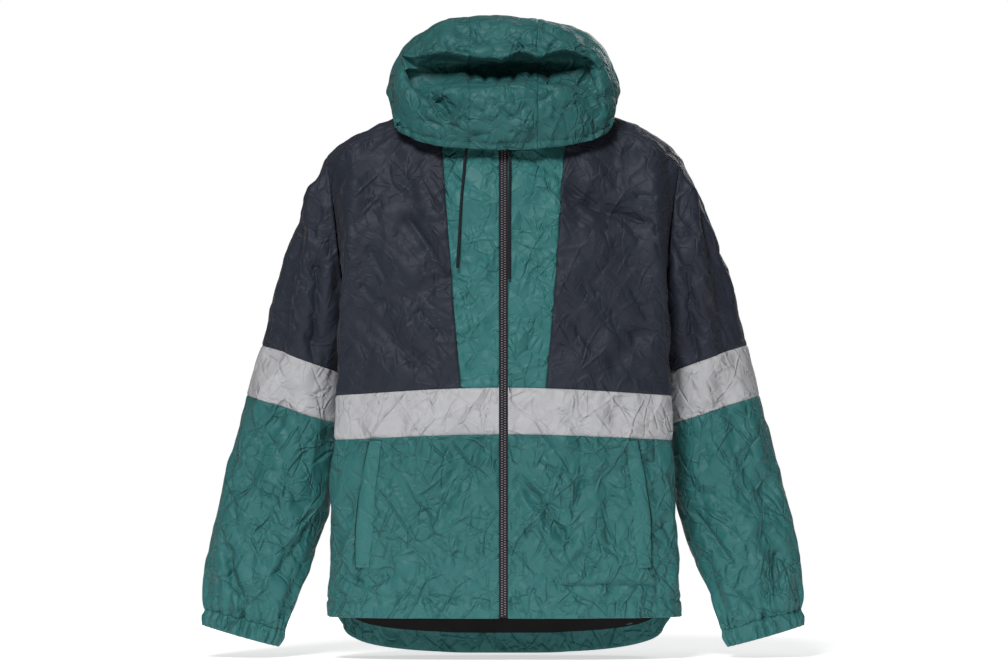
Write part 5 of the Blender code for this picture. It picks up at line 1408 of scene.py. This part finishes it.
def build_zip(hood, hood_normal):
    line, facing = zip_line(hood, hood_normal)
    across = np.array([-x for x in TAPE_COLUMNS[::-1]] + list(TAPE_COLUMNS))
    tapes = np.array([[(x, *(at - out * TAPE_DEPTH)) for x in across]
                      for at, out in zip(line, facing)])
    hang(grid_object("zip_tapes", TAPE, tapes), "zip", cut_of(tapes))
    # teeth, by turns on either side, painted pale as highlights
    way = lengths(line, 0)
    ways = 0.003 + np.arange(2 * int((way[-1] - 0.004) / TOOTH_PITCH)) * TOOTH_PITCH / 2
    points, faces = [], []
    places, outward = places_along(line, way, ways), unit(places_along(facing, way, ways))
    for k, (at, out) in enumerate(zip(places, outward)):
        up = np.array((-out[1], out[0]))
        up = up if up[1] > 0 else -up
        faces.append(BLOCK + len(points))
        for x, narrow, back_off in ((0.0007, 0.7, 0.0004), (0.0033, 1.0, 0.0)):
            x = x if k % 2 else -x
            points += [(x, *(at + up * h * TOOTH_HALF * narrow - out * (depth + back_off)))
                       for h in (-1, 1) for depth in (TOOTH_BACK, TOOTH_FRONT)]
    wear(mesh_object("zip_chain", TEETH_PAINTED_GLINT, np.array(points), np.concatenate(faces), smooth=False))


def dress_slider():
    for node in ("zip_slider", "zip_pull"):
        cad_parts[node].data.materials[0] = METAL


# ------------------------------------------------------------------ stage and light
def set_stage():
    """A small pale floor that glows, as painted light, and glows less near the jacket, a painted
    shade in which its soft shadow shows.
    """
    level = CAD_BOX[0][2] - FLOOR_GAP
    corners = np.array([[(x, y, level) for x in FLOOR_X] for y in FLOOR_Y])
    pale = Paint("glowing_floor_painted_light", Roughness=0.9, Emission_Strength=1.0)
    places = pale.places()
    away = pale.node("ShaderNodeVectorMath", {"operation": "LENGTH"}, {0: places}, "Value")
    # painted light: the floor glows, less within a metre of the jacket, which is painted shade
    # round it
    pale.give("Emission Color", pale.smooth_step(away, 1.0, 1.5, 0.58, 1.0))
    pale.give("Base Color", pale.blend(pale.noise(places, 0.8), (0.90,) * 3, (0.93,) * 3))
    grid_object("floor", pale.material, corners)


def area_light(name, place, aim, width, height, power):
    data = bpy.data.lights.new(name, "AREA")
    data.shape = "RECTANGLE"
    data.size, data.size_y, data.energy = width, height, power
    lamp = add_object(name, data)
    lamp.location = place
    direction = Vector(np.array(aim) - np.array(place))
    lamp.rotation_euler = direction.to_track_quat("-Z", "Y").to_euler()


def set_light():
    """Soft light from the upper right of the wearer; the background is white, but dim as a lamp."""
    world = bpy.data.worlds.new("studio")
    world.use_nodes = True
    tree = world.node_tree
    seen = tree.nodes.new("ShaderNodeLightPath")
    shade = tree.nodes.new("ShaderNodeMapRange")
    shade.inputs["To Min"].default_value = BACKGROUND_AS_LAMP
    shade.inputs["To Max"].default_value = 1.0
    tree.links.new(seen.outputs["Is Camera Ray"], shade.inputs["Value"])
    tree.links.new(shade.outputs["Result"], tree.nodes["Background"].inputs["Strength"])
    tree.nodes["Background"].inputs["Color"].default_value = (1.0, 1.0, 1.0, 1.0)
    bpy.context.scene.world = world
    for name, lamp in LAMPS.items():
        area_light(name, *lamp)
    bpy.context.scene.view_settings.view_transform = "Standard"


# ------------------------------------------------------------------ making the jacket
set_camera()
drawcord("hood_cord_right", CORD_RIGHT, "drawcord_right")
drawcord("hood_cord_left", CORD_LEFT, "drawcord_left")
build_body()
build_sleeves()
hood_grid, hood_normals = build_hood()
build_welts()
build_zip(hood_grid, hood_normals)
dress_slider()
set_stage()
set_light()
